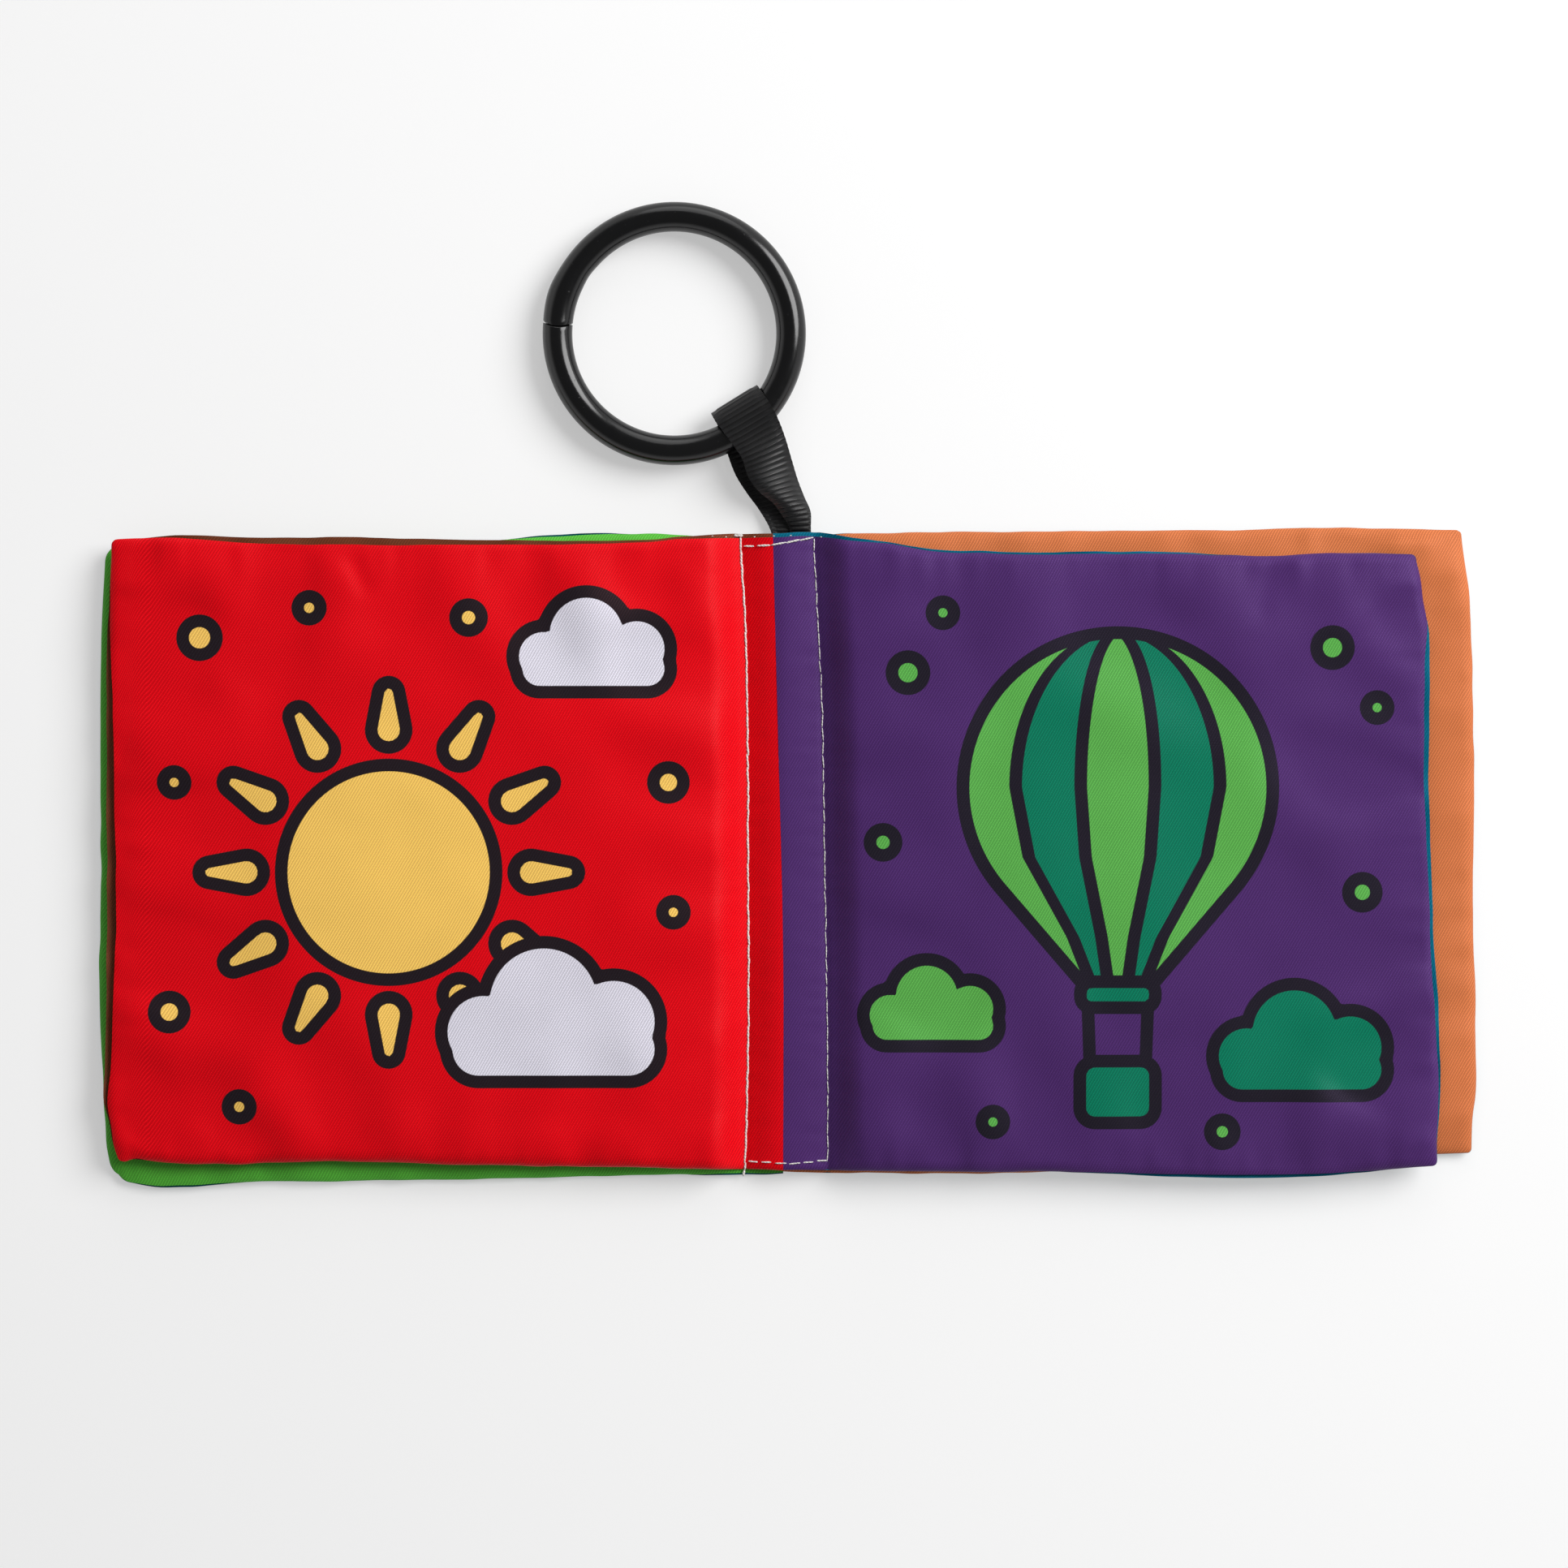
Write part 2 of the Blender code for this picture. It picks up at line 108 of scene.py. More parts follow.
def addLamp(direction, size, power):
    way = Vector(direction).normalized()
    bpy.ops.object.light_add(type="AREA", location=way * studio["keyDistance"])
    lamp = bpy.context.object
    lamp.data.shape = "DISK"
    lamp.data.size = size
    lamp.data.energy = power
    lamp.rotation_mode = "QUATERNION"
    lamp.rotation_quaternion = way.to_track_quat("Z", "Y")


# Shader maths: a wire wraps a socket, and arithmetic on wires adds Math nodes

class Wire:
    def __init__(self, tree, socket=None):
        self.tree = tree
        self.socket = socket

    def feed(self, socket, value):
        if isinstance(value, Wire):
            self.tree.links.new(value.socket, socket)
        elif hasattr(value, "__len__") and len(value) == 3 and socket.type == "RGBA":
            socket.default_value = (*value, 1)
        else:
            socket.default_value = value

    def make(self, kind, settings=None, inputs=None, output=0):
        node = self.tree.nodes.new("ShaderNode" + kind)
        for name, value in (settings or {}).items():
            setattr(node, name, value)
        for name, value in (inputs or {}).items():
            self.feed(node.inputs[name], value)
        return Wire(self.tree, node.outputs[output])

    def calc(self, operation, first, second=0.0, clamp=False):
        return self.make("Math", {"operation": operation, "use_clamp": clamp}, {0: first, 1: second})

    def mix(self, share, low, high, blend="MIX"):
        settings = {"data_type": "RGBA", "blend_type": blend}
        return self.make("Mix", settings, {0: share, 6: low, 7: high}, 2)

    def place(self):
        return self.make("TexCoord", None, None, "Object")

    def part(self, vector, index):
        return self.make("SeparateXYZ", None, {0: vector}, index)

    def noise(self, place, scale, detail, distortion=0.0):
        inputs = {"Vector": place, "Scale": scale, "Detail": detail, "Distortion": distortion}
        return self.make("TexNoise", None, inputs)

    def ramp(self, value, low, high):
        return self.calc("ADD", (value - low) * (1 / (high - low)), 0.0, True)

    def __add__(self, other):
        return self.calc("ADD", self, other)

    def __sub__(self, other):
        return self.calc("SUBTRACT", self, other)

    def __rsub__(self, other):
        return self.calc("SUBTRACT", other, self)

    def __mul__(self, other):
        return self.calc("MULTIPLY", self, other)

    def __abs__(self):
        return self.calc("ABSOLUTE", self)

    __radd__ = __add__
    __rmul__ = __mul__


def newMaterial(name, constants):
    material = bpy.data.materials.new(name)
    material.use_nodes = True
    shader = material.node_tree.nodes["Principled BSDF"]
    for socket, value in constants.items():
        shader.inputs[socket].default_value = (*value, 1) if hasattr(value, "__len__") else value
    return material, Wire(material.node_tree)


def connect(material, socket, wire):
    shader = material.node_tree.nodes["Principled BSDF"]
    material.node_tree.links.new(wire.socket, shader.inputs[socket])


def attribute(tree, name, output=1):
    return tree.make("Attribute", {"attribute_name": name}, None, output)


def addBump(material, tree, height, distance):
    connect(material, "Normal", tree.make("Bump", None, {"Height": height, "Distance": distance, "Strength": 1.0}))


# Satin twill: diagonal ridges with the short floats of the warp between them, and painted light: floats lighter, gaps
# darker

twill = {
    "pitch": 0.51,              # between two diagonal ridges
    "angle": 60.0,
    "weft": 0.336,              # between two rows of the weft
    "waver": 0.16,
    "swayScale": 0.9,
    "threadScale": 2.4,
    "threadShift": 0.35,
    "ridgeFrom": -0.3,
    "patchScale": 0.06,
    "ridgeHeight": 0.03 * mm,
    "threadHeight": 0.3,
    "roughness": 0.5,
    "gloss": 0.16,
    "threadGloss": 0.15,
    "sheen": 0.02,
    "sheenRoughness": 0.42,
    "specular": 0.2,
    "tint": 0.4,                # how much white the shine has beside the dye's own colour
    "dash": 0.5,
    # between and weaveShade paint the weave's light and shade into the base colour; thread and patch vary its tone at
    # random
    "between": 0.85,
    "weaveShade": 0.55,
    "threadShade": 0.3,
    "patchShade": 0.16,
    # painted glints: a little white mixed into the base colour on the brightest floats
    "paintedGlintWeave": 0.3,
    "paintedGlintFrom": (0.1, 0.45),
    "paintedGlintShare": 0.006,
}


def twillWires(tree):
    # weave: 1 on a float of the warp, 0 between floats; thread: how single floats differ; patch: how the dye varies
    cut = attribute(tree, "cut")
    flat = tree.part(cut, 0)
    across = tree.part(cut, 1)
    lean = math.radians(twill["angle"])
    sway = tree.noise(cut, twill["swayScale"], 1.0) - 0.5
    phase = (flat * math.sin(lean) - across * math.cos(lean)) * (1 / twill["pitch"]) + sway * twill["waver"]
    row = across * (1 / twill["weft"]) + sway * twill["waver"]
    place = tree.make("CombineXYZ", None, {0: phase, 1: row})
    thread = tree.noise(place, twill["threadScale"], 1.0) - 0.5
    ridge = tree.ramp(tree.calc("SINE", phase * (2 * math.pi)), twill["ridgeFrom"], 1.0)
    dash = tree.calc("SINE", (row + thread * twill["threadShift"]) * (2 * math.pi)) * 0.5 + 0.5
    weave = ridge * (dash * twill["dash"] + (1 - twill["dash"]))
    patch = tree.noise(cut, twill["patchScale"], 2.0) - 0.5
    return weave, thread, patch


def satinMaterial(name, colour, paint=None):
    # the shine comes from inside the filaments, so it takes the dye's colour
    shine = tuple(twill["tint"] + (1 - twill["tint"]) * value / max(colour) for value in colour)
    material, tree = newMaterial(name, {
        "Sheen Weight": twill["sheen"], "Sheen Roughness": twill["sheenRoughness"],
        "Specular IOR Level": twill["specular"], "Specular Tint": shine,
    })
    weave, thread, patch = twillWires(tree)
    painted = paint(tree, colour) if paint else colour
    # painted light and shade of the weave: the floats lighter and the gaps between them darker in the base colour;
    # thread and patch vary the tone at random
    bright = weave * twill["weaveShade"] + thread * twill["threadShade"]
    bright = bright + patch * twill["patchShade"] + twill["between"]
    shade = tree.make("CombineColor", None, {0: bright, 1: bright, 2: bright})
    woven = tree.mix(1.0, painted, shade, "MULTIPLY")
    # painted sheen: a little white on the brightest floats, as glints of light
    paintedGlint = tree.ramp(weave * twill["paintedGlintWeave"] + thread, *twill["paintedGlintFrom"]) * twill["paintedGlintShare"]
    connect(material, "Base Color", tree.mix(paintedGlint, woven, (1.0, 1.0, 1.0)))
    connect(material, "Roughness", twill["roughness"] - weave * twill["gloss"] - thread * twill["threadGloss"])
    addBump(material, tree, weave + thread * twill["threadHeight"], twill["ridgeHeight"])
    return material


# Small numpy helpers for soft shapes, all in millimetres

def curve(points, at):
    # a smooth line through (place, value) points
    place, value = np.array(points, float).T
    slope = np.gradient(value, place)
    at = np.clip(at, place[0], place[-1])
    index = np.clip(np.searchsorted(place, at) - 1, 0, len(place) - 2)
    span = place[index + 1] - place[index]
    u = (at - place[index]) / span
    start = (1 + 2 * u) * (1 - u) ** 2 * value[index] + u * (1 - u) ** 2 * span * slope[index]
    end = u * u * (3 - 2 * u) * value[index + 1] + u * u * (u - 1) * span * slope[index + 1]
    return start + end


def ease(share):
    share = np.clip(share, 0, 1)
    return share * share * (3 - 2 * share)


def easeOut(share, power=2.2):
    return 1 - (1 - np.clip(share, 0, 1)) ** power


def softNoise(x, y, size, seed):
    # smooth random hills of about the given size, from -1 to 1
    lattice = np.random.RandomState(seed).uniform(-1, 1, (64, 64))
    u = x / size + 20.3
    v = y / size + 20.7
    i = np.floor(u).astype(int)
    j = np.floor(v).astype(int)
    a = ease(u - i)
    b = ease(v - j)
    corner = lambda p, q: lattice[(i + p) % 64, (j + q) % 64]
    low = corner(0, 0) * (1 - a) + corner(1, 0) * a
    high = corner(0, 1) * (1 - a) + corner(1, 1) * a
    return low * (1 - b) + high * b


def crease(x, y, start, end, width, depth):
    # a soft groove (or a fold, with a negative depth) along a line, fading towards both ends
    way = np.array(end, float) - np.array(start, float)
    length = np.hypot(*way)
    along = ((x - start[0]) * way[0] + (y - start[1]) * way[1]) / length
    off = ((x - start[0]) * way[1] - (y - start[1]) * way[0]) / length
    fade = ease(along / (0.35 * length)) * ease((length - along) / (0.35 * length))
    return -depth * fade * np.exp(-((off / width) ** 2))


# Meshes from grids of points

def gridPiece(name, points, cut, faceUp, thickness, fields=None, testRow=0.5, wallShare=None):
    # wallShare thins the wall where there is little room under it
    rows, columns = points.shape[:2]
    test = int(rows * testRow)
    index = np.arange(rows * columns).reshape(rows, columns)
    quads = np.stack([index[:-1, :-1], index[:-1, 1:], index[1:, 1:], index[1:, :-1]], axis=-1).reshape(-1, 4)
    first = points[test, columns // 2]
    right = points[test, columns // 2 + 1] - first
    up = points[test + 1, columns // 2] - first
    if (np.cross(right, up)[2] > 0) != faceUp:
        quads = quads[:, ::-1]
    mesh = bpy.data.meshes.new(name)
    mesh.from_pydata((points.reshape(-1, 3) * mm + bookMiddle).tolist(), [], quads.tolist())
    layer = mesh.attributes.new("cut", "FLOAT_VECTOR", "POINT")
    layer.data.foreach_set("vector", cut.reshape(-1, 3).astype(np.float32).ravel())
    for field, values in (fields or {}).items():
        single = values.ndim == 2
        layer = mesh.attributes.new(field, "FLOAT" if single else "FLOAT_VECTOR", "POINT")
        layer.data.foreach_set("value" if single else "vector", values.astype(np.float32).ravel())
    piece = bpy.data.objects.new(name, mesh)
    bpy.context.collection.objects.link(piece)
    select(piece)
    wall = piece.modifiers.new("thickness", "SOLIDIFY")
    wall.thickness = thickness * mm
    wall.offset = -1
    wall.use_even_offset = False
    if wallShare is not None:
        group = piece.vertex_groups.new(name="wall")
        shares = wallShare.ravel()
        group.add(np.nonzero(shares >= 1)[0].tolist(), 1.0, "REPLACE")
        for index in np.nonzero(shares < 1)[0].tolist():
            group.add([index], float(shares[index]), "REPLACE")
        wall.vertex_group = group.name
    bpy.ops.object.modifier_apply(modifier=wall.name)
    bpy.ops.object.shade_smooth_by_angle(angle=math.radians(50))
    return piece


def readPoints(piece):
    place = np.zeros(len(piece.data.vertices) * 3)
    piece.data.vertices.foreach_get("co", place)
    return place.reshape(-1, 3)


def writePoints(piece, place):
    piece.data.vertices.foreach_set("co", place.ravel())
    piece.data.update()


def select(*pieces):
    bpy.ops.object.select_all(action="DESELECT")
    for piece in pieces:
        piece.select_set(True)
    bpy.context.view_layer.objects.active = pieces[-1]


def dress(piece, material, slot, *nodes):
    piece.data.materials.clear()
    piece.data.materials.append(material)
    if nodes:
        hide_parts(*nodes)


# How the cloths fold between the spine and the leaves: two slanted hinge lines on each side, in millimetres

hinges = {
    "left": {"side": -1, "stitch": [(-64, 7.65), (-41, 7.1), (0, 7.1), (24, 7.2), (49, 7.8), (64, 8.7)],
             "lean": 0.0113, "pageStart": 8.15, "coverStart": 11.35},
    "right": {"side": 1, "stitch": [(-64, 8.95), (-41, 8.9), (0, 8.3), (33, 7.65), (49, 6.8), (64, 6.1)],
              "lean": -0.0239, "pageStart": 8.45, "coverStart": 11.65},
    "pageWidth": 3.1,
    "coverWidth": 2.7,
    "colourLine": [(-64, 0.0), (-20, 0.0), (30, -1.2), (64, -2.1)],
}


def hingeLine(hand, which, y):
    # how far out the hinge's start line lies at this height of the page
    hinge = hinges[hand]
    return hinge[which] + hinge["lean"] * y


# The padded leaves; each line is (place along the edge, value) in millimetres from the middle of the book, as the
# camera sees it at the pages' height; nearer makes up for the covers' lying lower

leafForm = {
    "rim": 2.2, "rimArc": 1.75, "full": 1.675, "rise": 9.0,
    "spineRim": 1.0, "spineHalf": 0.45, "spineSlope": 7.2, "spineEnd": 15.0,
    "ridgeRound": 0.015, "sagReach": 3.5, "ripple": 0.14, "rippleSize": 4.6,
    "cornerThin": 0.6, "cornerReach": 4.0, "wallRoom": 0.45, "thinnest": 0.05,
    "tall": 126.0, "nominal": 125.0, "slopeShares": (0.8, 0.2), "mostPeek": 0.85, "rimPower": 4,
    "groove": 0.3, "grooveReach": 0.7, "spineRipple": 0.07, "spineRippleSize": 1.5, "spineRippleReach": 7.0,
}
step = {"fine": 0.4, "zone": 4.0, "plain": 1.25, "printed": 0.8, "hinge": 0.22, "beforeFold": 1.2, "afterFold": 1.6,
        "afterCoverFold": 1.0, "spineColumns": 10, "bridgeColumns": 46, "pageRun": 116.0, "coverRun": 118.0}

# Folds by noise: the broad hills' sizes and heights, then the puckers along the seams
wrinkle = {
    "hills": [(34, 0.5), (17, 0.28), (8, 0.05)],
    "clear": 12, "clearPower": 1.5,
    "puckerAt": 2.4, "puckerShare": 0.9, "rimReach": 1.5, "rimShare": 0.18, "puckerHeight": 0.3,
    "pleats": [(5.2, 0.35, 1.0, 5), (2.6, 0.2, 0.5, 9)],      # size, slant, share, seed
}

pageKind = {"middle": 5.73, "spineMiddle": 3.4, "crown": 1.0, "floor": 4.0, "roof": 20.0, "dip": 0.6,
            "spineRoof": 5.2, "nearer": 1.0, "ridge": 1.0, "rimHalf": 1.15}
coverKind = {"middle": 1.675, "spineMiddle": 1.1, "crown": 0.3, "floor": 0.0, "roof": 3.9, "dip": 0.35,
             "spineRoof": 1.55, "nearer": 1.0043, "ridge": 0.0, "rimHalf": 0.75}

leaves = {
    "redPage": {
        **pageKind, "hand": "left", "seed": 3, "sag": 1.25, "round": 1.2,
        "edge": [(-64, 132), (-62, 132.9), (-59, 134.1), (-53.5, 134.9), (-50, 135.5), (-43, 134.9), (-30, 134.4),
                 (-16, 133.8), (-8, 133.7), (6, 134), (21, 134.2), (47, 135), (64, 134.9)],
        "edgePeek": [(-64, 0), (-59, 0.3), (-53.5, 0.5), (-50, 0.8), (-43, 1.3), (-30, 1.5), (-16, 2), (-8, 2),
                     (6, 1.8), (21, 1.6), (35, 1.2), (47, 0.5), (58, 0), (64, -0.4)],
        "head": [(0, 63.3), (11, 63.2), (17, 62.9), (21, 62.75), (24, 62.5), (35, 62), (43, 61.8), (63, 61.7),
                 (88, 61.6), (107, 62), (122, 63), (130, 62.9), (136, 62.6)],
        "headPeek": [(0, 1.15), (12, 0.9), (20, 0.55), (24, 0.5), (36, 0.65), (53, 0.95), (60, 1), (88, 1.6),
                     (107, 1.2), (120, 0.7), (127, 0.1), (131, -0.3), (136, -0.4)],
        "foot": [(0, -64), (20, -63.5), (60, -62.8), (90, -62.1), (115, -62.6), (122, -62.4), (127, -62),
                 (130, -61.5), (132.8, -62.5), (136, -62.9)],
        "footPeek": [(0, -0.2), (126, -0.2), (130, 0.2), (132, -0.2), (136, -0.2)],
        "creases": [((60, 47), (118, 50), 5, 0.35), ((20, -52), (70, -55), 4, 0.3),
                    ((112, -20), (131, -12), 3, 0.3), ((110, 8), (132, 14), 3.5, 0.25),
                    ((118, -48), (131, -58), 2.2, 0.35), ((100, -46), (124, -60), 3, -0.25),
                    ((14, -40), (30, -58), 4, -0.3), ((82, 50), (88, 61), 2, 0.4), ((14, 40), (12, 60), 2.5, 0.2)],
    },
    "purplePage": {
        **pageKind, "hand": "right", "seed": 8, "sag": 0.4, "round": 1.1,
        "edge": [(-64, 131.4), (-58, 131.1), (-51, 131.3), (-44, 131.4), (-37, 131.1), (-27, 130.4), (-16, 129.8),
                 (0, 129.2), (15, 128.5), (28, 128.5), (35, 128.6), (43, 128.8), (47.6, 129.2), (53.5, 128.5),
                 (58.5, 127.8), (61, 127.1)],
        "edgePeek": [(-64, 0), (-58, 0.15), (-51, 0.4), (-44, 0.5), (-37, 0.7), (-27, 1), (-16, 0.8), (0, 0.9),
                     (15, 1.1), (28, 1.2), (35, 1.2), (42, 1.1), (46, 0.6), (49, 0.1), (61, 0)],
        "head": [(0, 63.4), (5, 63.5), (9, 63.1), (14, 62.4), (18, 62.1), (21.5, 61.95), (25, 61.2), (29, 60.5),
                 (40, 60), (80, 59.8), (97, 59.4), (110, 60), (121, 60), (132, 59.6)],
        "headPeek": [(0, 1), (9, 0.9), (15, 0.65), (21, 0.35), (29, 0.45), (40, 0.45), (80, 0.35), (92, 0.05),
                     (132, 0)],
        "foot": [(0, -64), (30, -64.1), (60, -64.2), (90, -64.6), (110, -64.4), (125, -63.4), (133, -62.9)],
        "footPeek": [(0, 0), (55, 0), (65, 0.3), (115, 0.35), (122, 0), (133, 0)],
        "creases": [((40, 50), (100, 46), 6, 0.3), ((18, -20), (30, -34), 5, 0.3),
                    ((104, -40), (126, -56), 3, 0.3), ((104, 40), (126, 56), 3, -0.35),
                    ((112, 10), (129, 16), 3, 0.25), ((60, -50), (110, -56), 4.5, 0.3),
                    ((18, 30), (40, 46), 6, 0.25), ((95, 44), (97, 59), 2.4, 0.3)],
    },
    "greenCover": {
        **coverKind, "hand": "left", "seed": 21, "sag": 0, "round": 3.2,
        "edge": [(-68, 133), (-64, 134), (-62, 134.5), (-59.4, 135.1), (-56.6, 135.7), (-51.4, 136.1), (-41, 136.5),
                 (-32, 137), (-22.6, 137.2), (-6, 136.9), (6, 137), (26, 137.1), (47, 136.7), (60, 136)],
        "edgePeek": [(-68, 0), (60, 0)],
        "head": [(0, 62.9), (13, 63), (17, 63.4), (24, 63.8), (35, 63.7), (43, 63.4), (53, 62.8), (62, 62.3),
                 (80, 62.1), (125, 62.1), (132, 61.9), (138, 61.4)],
        "headPeek": [(0, 0), (30, 0), (37, 0.3), (50, 0.3), (56, 0), (138, 0)],
        "foot": [(0, -64.3), (15, -64.6), (60, -65.6), (90, -66.1), (113, -66.4), (120, -66.8), (126, -67),
                 (131.4, -66.2), (138, -65)],
        "footPeek": [(0, 0.3), (14, 0.3), (20, 0), (108, 0), (116, 0.35), (128, 0.3), (134, 0), (138, 0)],
        "creases": [((126, -50), (136, -40), 2, 0.4), ((100, -60), (106, -66), 1.8, 0.3)],
    },
    "orangeCover": {
        **coverKind, "hand": "right", "seed": 34, "sag": 0, "round": 0.9,
        "edge": [(-62, 138.2), (-54, 138.5), (-51, 138.9), (-45, 139.1), (-36, 138.9), (-30, 139), (-20, 138.5),
                 (0, 138.5), (15, 138.6), (28, 138.4), (38, 138.2), (46, 137.8), (50, 137.6), (55, 136.9), (60, 136.2),
                 (64, 135.5), (66, 134.9)],
        "edgePeek": [(-62, 0), (66, 0)],
        "head": [(0, 63.2), (7, 63.3), (12, 63.9), (17, 64), (60, 64.4), (95, 64.7), (110, 65.1), (125, 64.8),
                 (140, 64.4)],
        "headPeek": [(0, 0.3), (8, 0.2), (15, 0), (140, 0)],
        "foot": [(0, -64.2), (20, -64.5), (45, -64.4), (80, -62.8), (120, -60.9), (140, -60.3)],
        "footPeek": [(0, 0), (140, 0)],
        "creases": [((105, 64), (118, 60), 2, 0.5), ((118, 61), (134, 62), 1.6, -0.4),
                    ((131, 30), (138, 36), 2.4, 0.4), ((131, -10), (138, -4), 2.4, 0.3),
                    ((129, 44), (133, 56), 2.6, 0.35)],
    },
}


# A sewn leaf's cloth is a little larger than its seams allow, so it folds: a square of it is simulated ten times as
# large, blown up a little, and its folds are what is left once the even dome is taken off

folding = {
    "size": 1.25,
    "cells": 84,
    "dome": 0.03,
    "uneven": 0.0015,
    "spare": 0.010,
    "seamSpare": 0.04,
    "seamReach": 0.2,
    "pressure": 0.4,
    "stiffness": 15.0,
    "bending": 5.0,
    "mass": 0.25,
    "frames": 30,
    "largest": 1.1,
    "gain": {"redPage": 1.15, "purplePage": 1.05, "greenCover": 0.6, "orangeCover": 0.6},
    "smoothing": 6,
}


def simulateFolds(seed):
    # heights in millimetres, on a grid from the foot's left corner to the head's right corner
    print("Cloth simulation", seed)
    bpy.ops.object.select_all(action="DESELECT")
    cells = folding["cells"]
    bpy.ops.mesh.primitive_grid_add(x_subdivisions=cells, y_subdivisions=cells, size=folding["size"])
    square = bpy.context.object
    start = readPoints(square)
    u = start[:, 0] / folding["size"] * 2
    v = start[:, 1] / folding["size"] * 2
    chance = np.random.RandomState(seed)
    start[:, 2] = folding["dome"] * (1 - u ** 4) * (1 - v ** 4) + chance.uniform(-1, 1, len(u)) * folding["uneven"]
    writePoints(square, start)
    inside = 1 - np.maximum(abs(u), abs(v))
    loose = np.clip(1 - inside * folding["size"] / 2 / folding["seamReach"], 0, 1)
    seam = square.vertex_groups.new(name="seam")
    seam.add(np.nonzero(inside < 0.001)[0].tolist(), 1.0, "REPLACE")
    slack = square.vertex_groups.new(name="slack")
    for index in np.nonzero(loose > 0)[0].tolist():
        slack.add([index], float(loose[index]), "REPLACE")
    cloth = square.modifiers.new("cloth", "CLOTH")
    settings = cloth.settings
    settings.vertex_group_mass = "seam"
    settings.vertex_group_shrink = "slack"
    settings.shrink_min = -folding["spare"]
    settings.shrink_max = -folding["seamSpare"]
    settings.quality = 6
    settings.mass = folding["mass"]
    settings.tension_stiffness = folding["stiffness"]
    settings.compression_stiffness = folding["stiffness"]
    settings.bending_stiffness = folding["bending"]
    settings.use_pressure = True
    settings.uniform_pressure_force = folding["pressure"]
    settings.effector_weights.gravity = 0
    cloth.collision_settings.use_collision = False
    for frameNumber in range(1, folding["frames"] + 1):
        bpy.context.scene.frame_set(frameNumber)
    bpy.ops.object.modifier_apply(modifier=cloth.name)
    settled = readPoints(square)
    bpy.context.scene.frame_set(1)
    bpy.data.objects.remove(square)
    order = np.lexsort((start[:, 0].round(5), start[:, 1].round(5)))
    height = settled[order, 2].reshape(cells + 1, cells + 1) * 100
    turned = [side[::rows, ::columns] for side in (height, height.T) for rows in (1, -1) for columns in (1, -1)]
    folds = np.clip(height - np.mean(turned, axis=0), -folding["largest"], folding["largest"])
    for axis in (0, 1) * folding["smoothing"]:
        folds = folds / 2 + (np.roll(folds, 1, axis) + np.roll(folds, -1, axis)) / 4
    print("Folds from", folds.min().round(2), "to", folds.max().round(2))
    return folds


def foldHeight(leafName, across, up):
    # shares from 0 to 1 across and up the leaf; each cover's folds are its page's turned round
    page = {"greenCover": "redPage", "orangeCover": "purplePage"}.get(leafName, leafName)
    if page not in foldGrids:
        foldGrids[page] = simulateFolds(leaves[page]["seed"])
    grid = foldGrids[page] if page == leafName else foldGrids[page][::-1, ::-1]
    last = len(grid) - 1
    x = np.clip(across, 0, 1) * last
    y = np.clip(up, 0, 1) * last
    i = np.minimum(x.astype(int), last - 1)
    j = np.minimum(y.astype(int), last - 1)
    low = grid[j, i] * (1 - x + i) + grid[j, i + 1] * (x - i)
    high = grid[j + 1, i] * (1 - x + i) + grid[j + 1, i + 1] * (x - i)
    return (low * (1 - y + j) + high * (y - j)) * folding["gain"][leafName]


foldGrids = {}


def rowPlaces(length, plain):
    # places from 0 to length, fine near both ends
    ends = np.arange(0, step["zone"], step["fine"])
    count = int(round((length - 2 * step["zone"]) / plain))
    middle = np.linspace(step["zone"], length - step["zone"], count + 1)
    return np.concatenate([ends, middle, length - ends[::-1]])


def rimPath(fromSeam, peek, rim, face):
    # from the distance along the cloth: the distance inside the outermost line, and the height as a share
    turn = np.arccos(np.clip(1 - np.maximum(peek, 0) / rim, -1, 1)) + np.minimum(peek, 0)
    arc = leafForm["rimArc"] * rim / leafForm["rim"]
    angle = turn + face * fromSeam / arc
    quarter = (math.pi / 2 - face * turn) * arc
    inside = fromSeam > quarter
    distance = np.where(inside, rim + fromSeam - quarter, rim * (1 - np.cos(angle)))
    height = np.where(inside, 1.0, face * np.sin(angle))
    return distance, height, rim - quarter


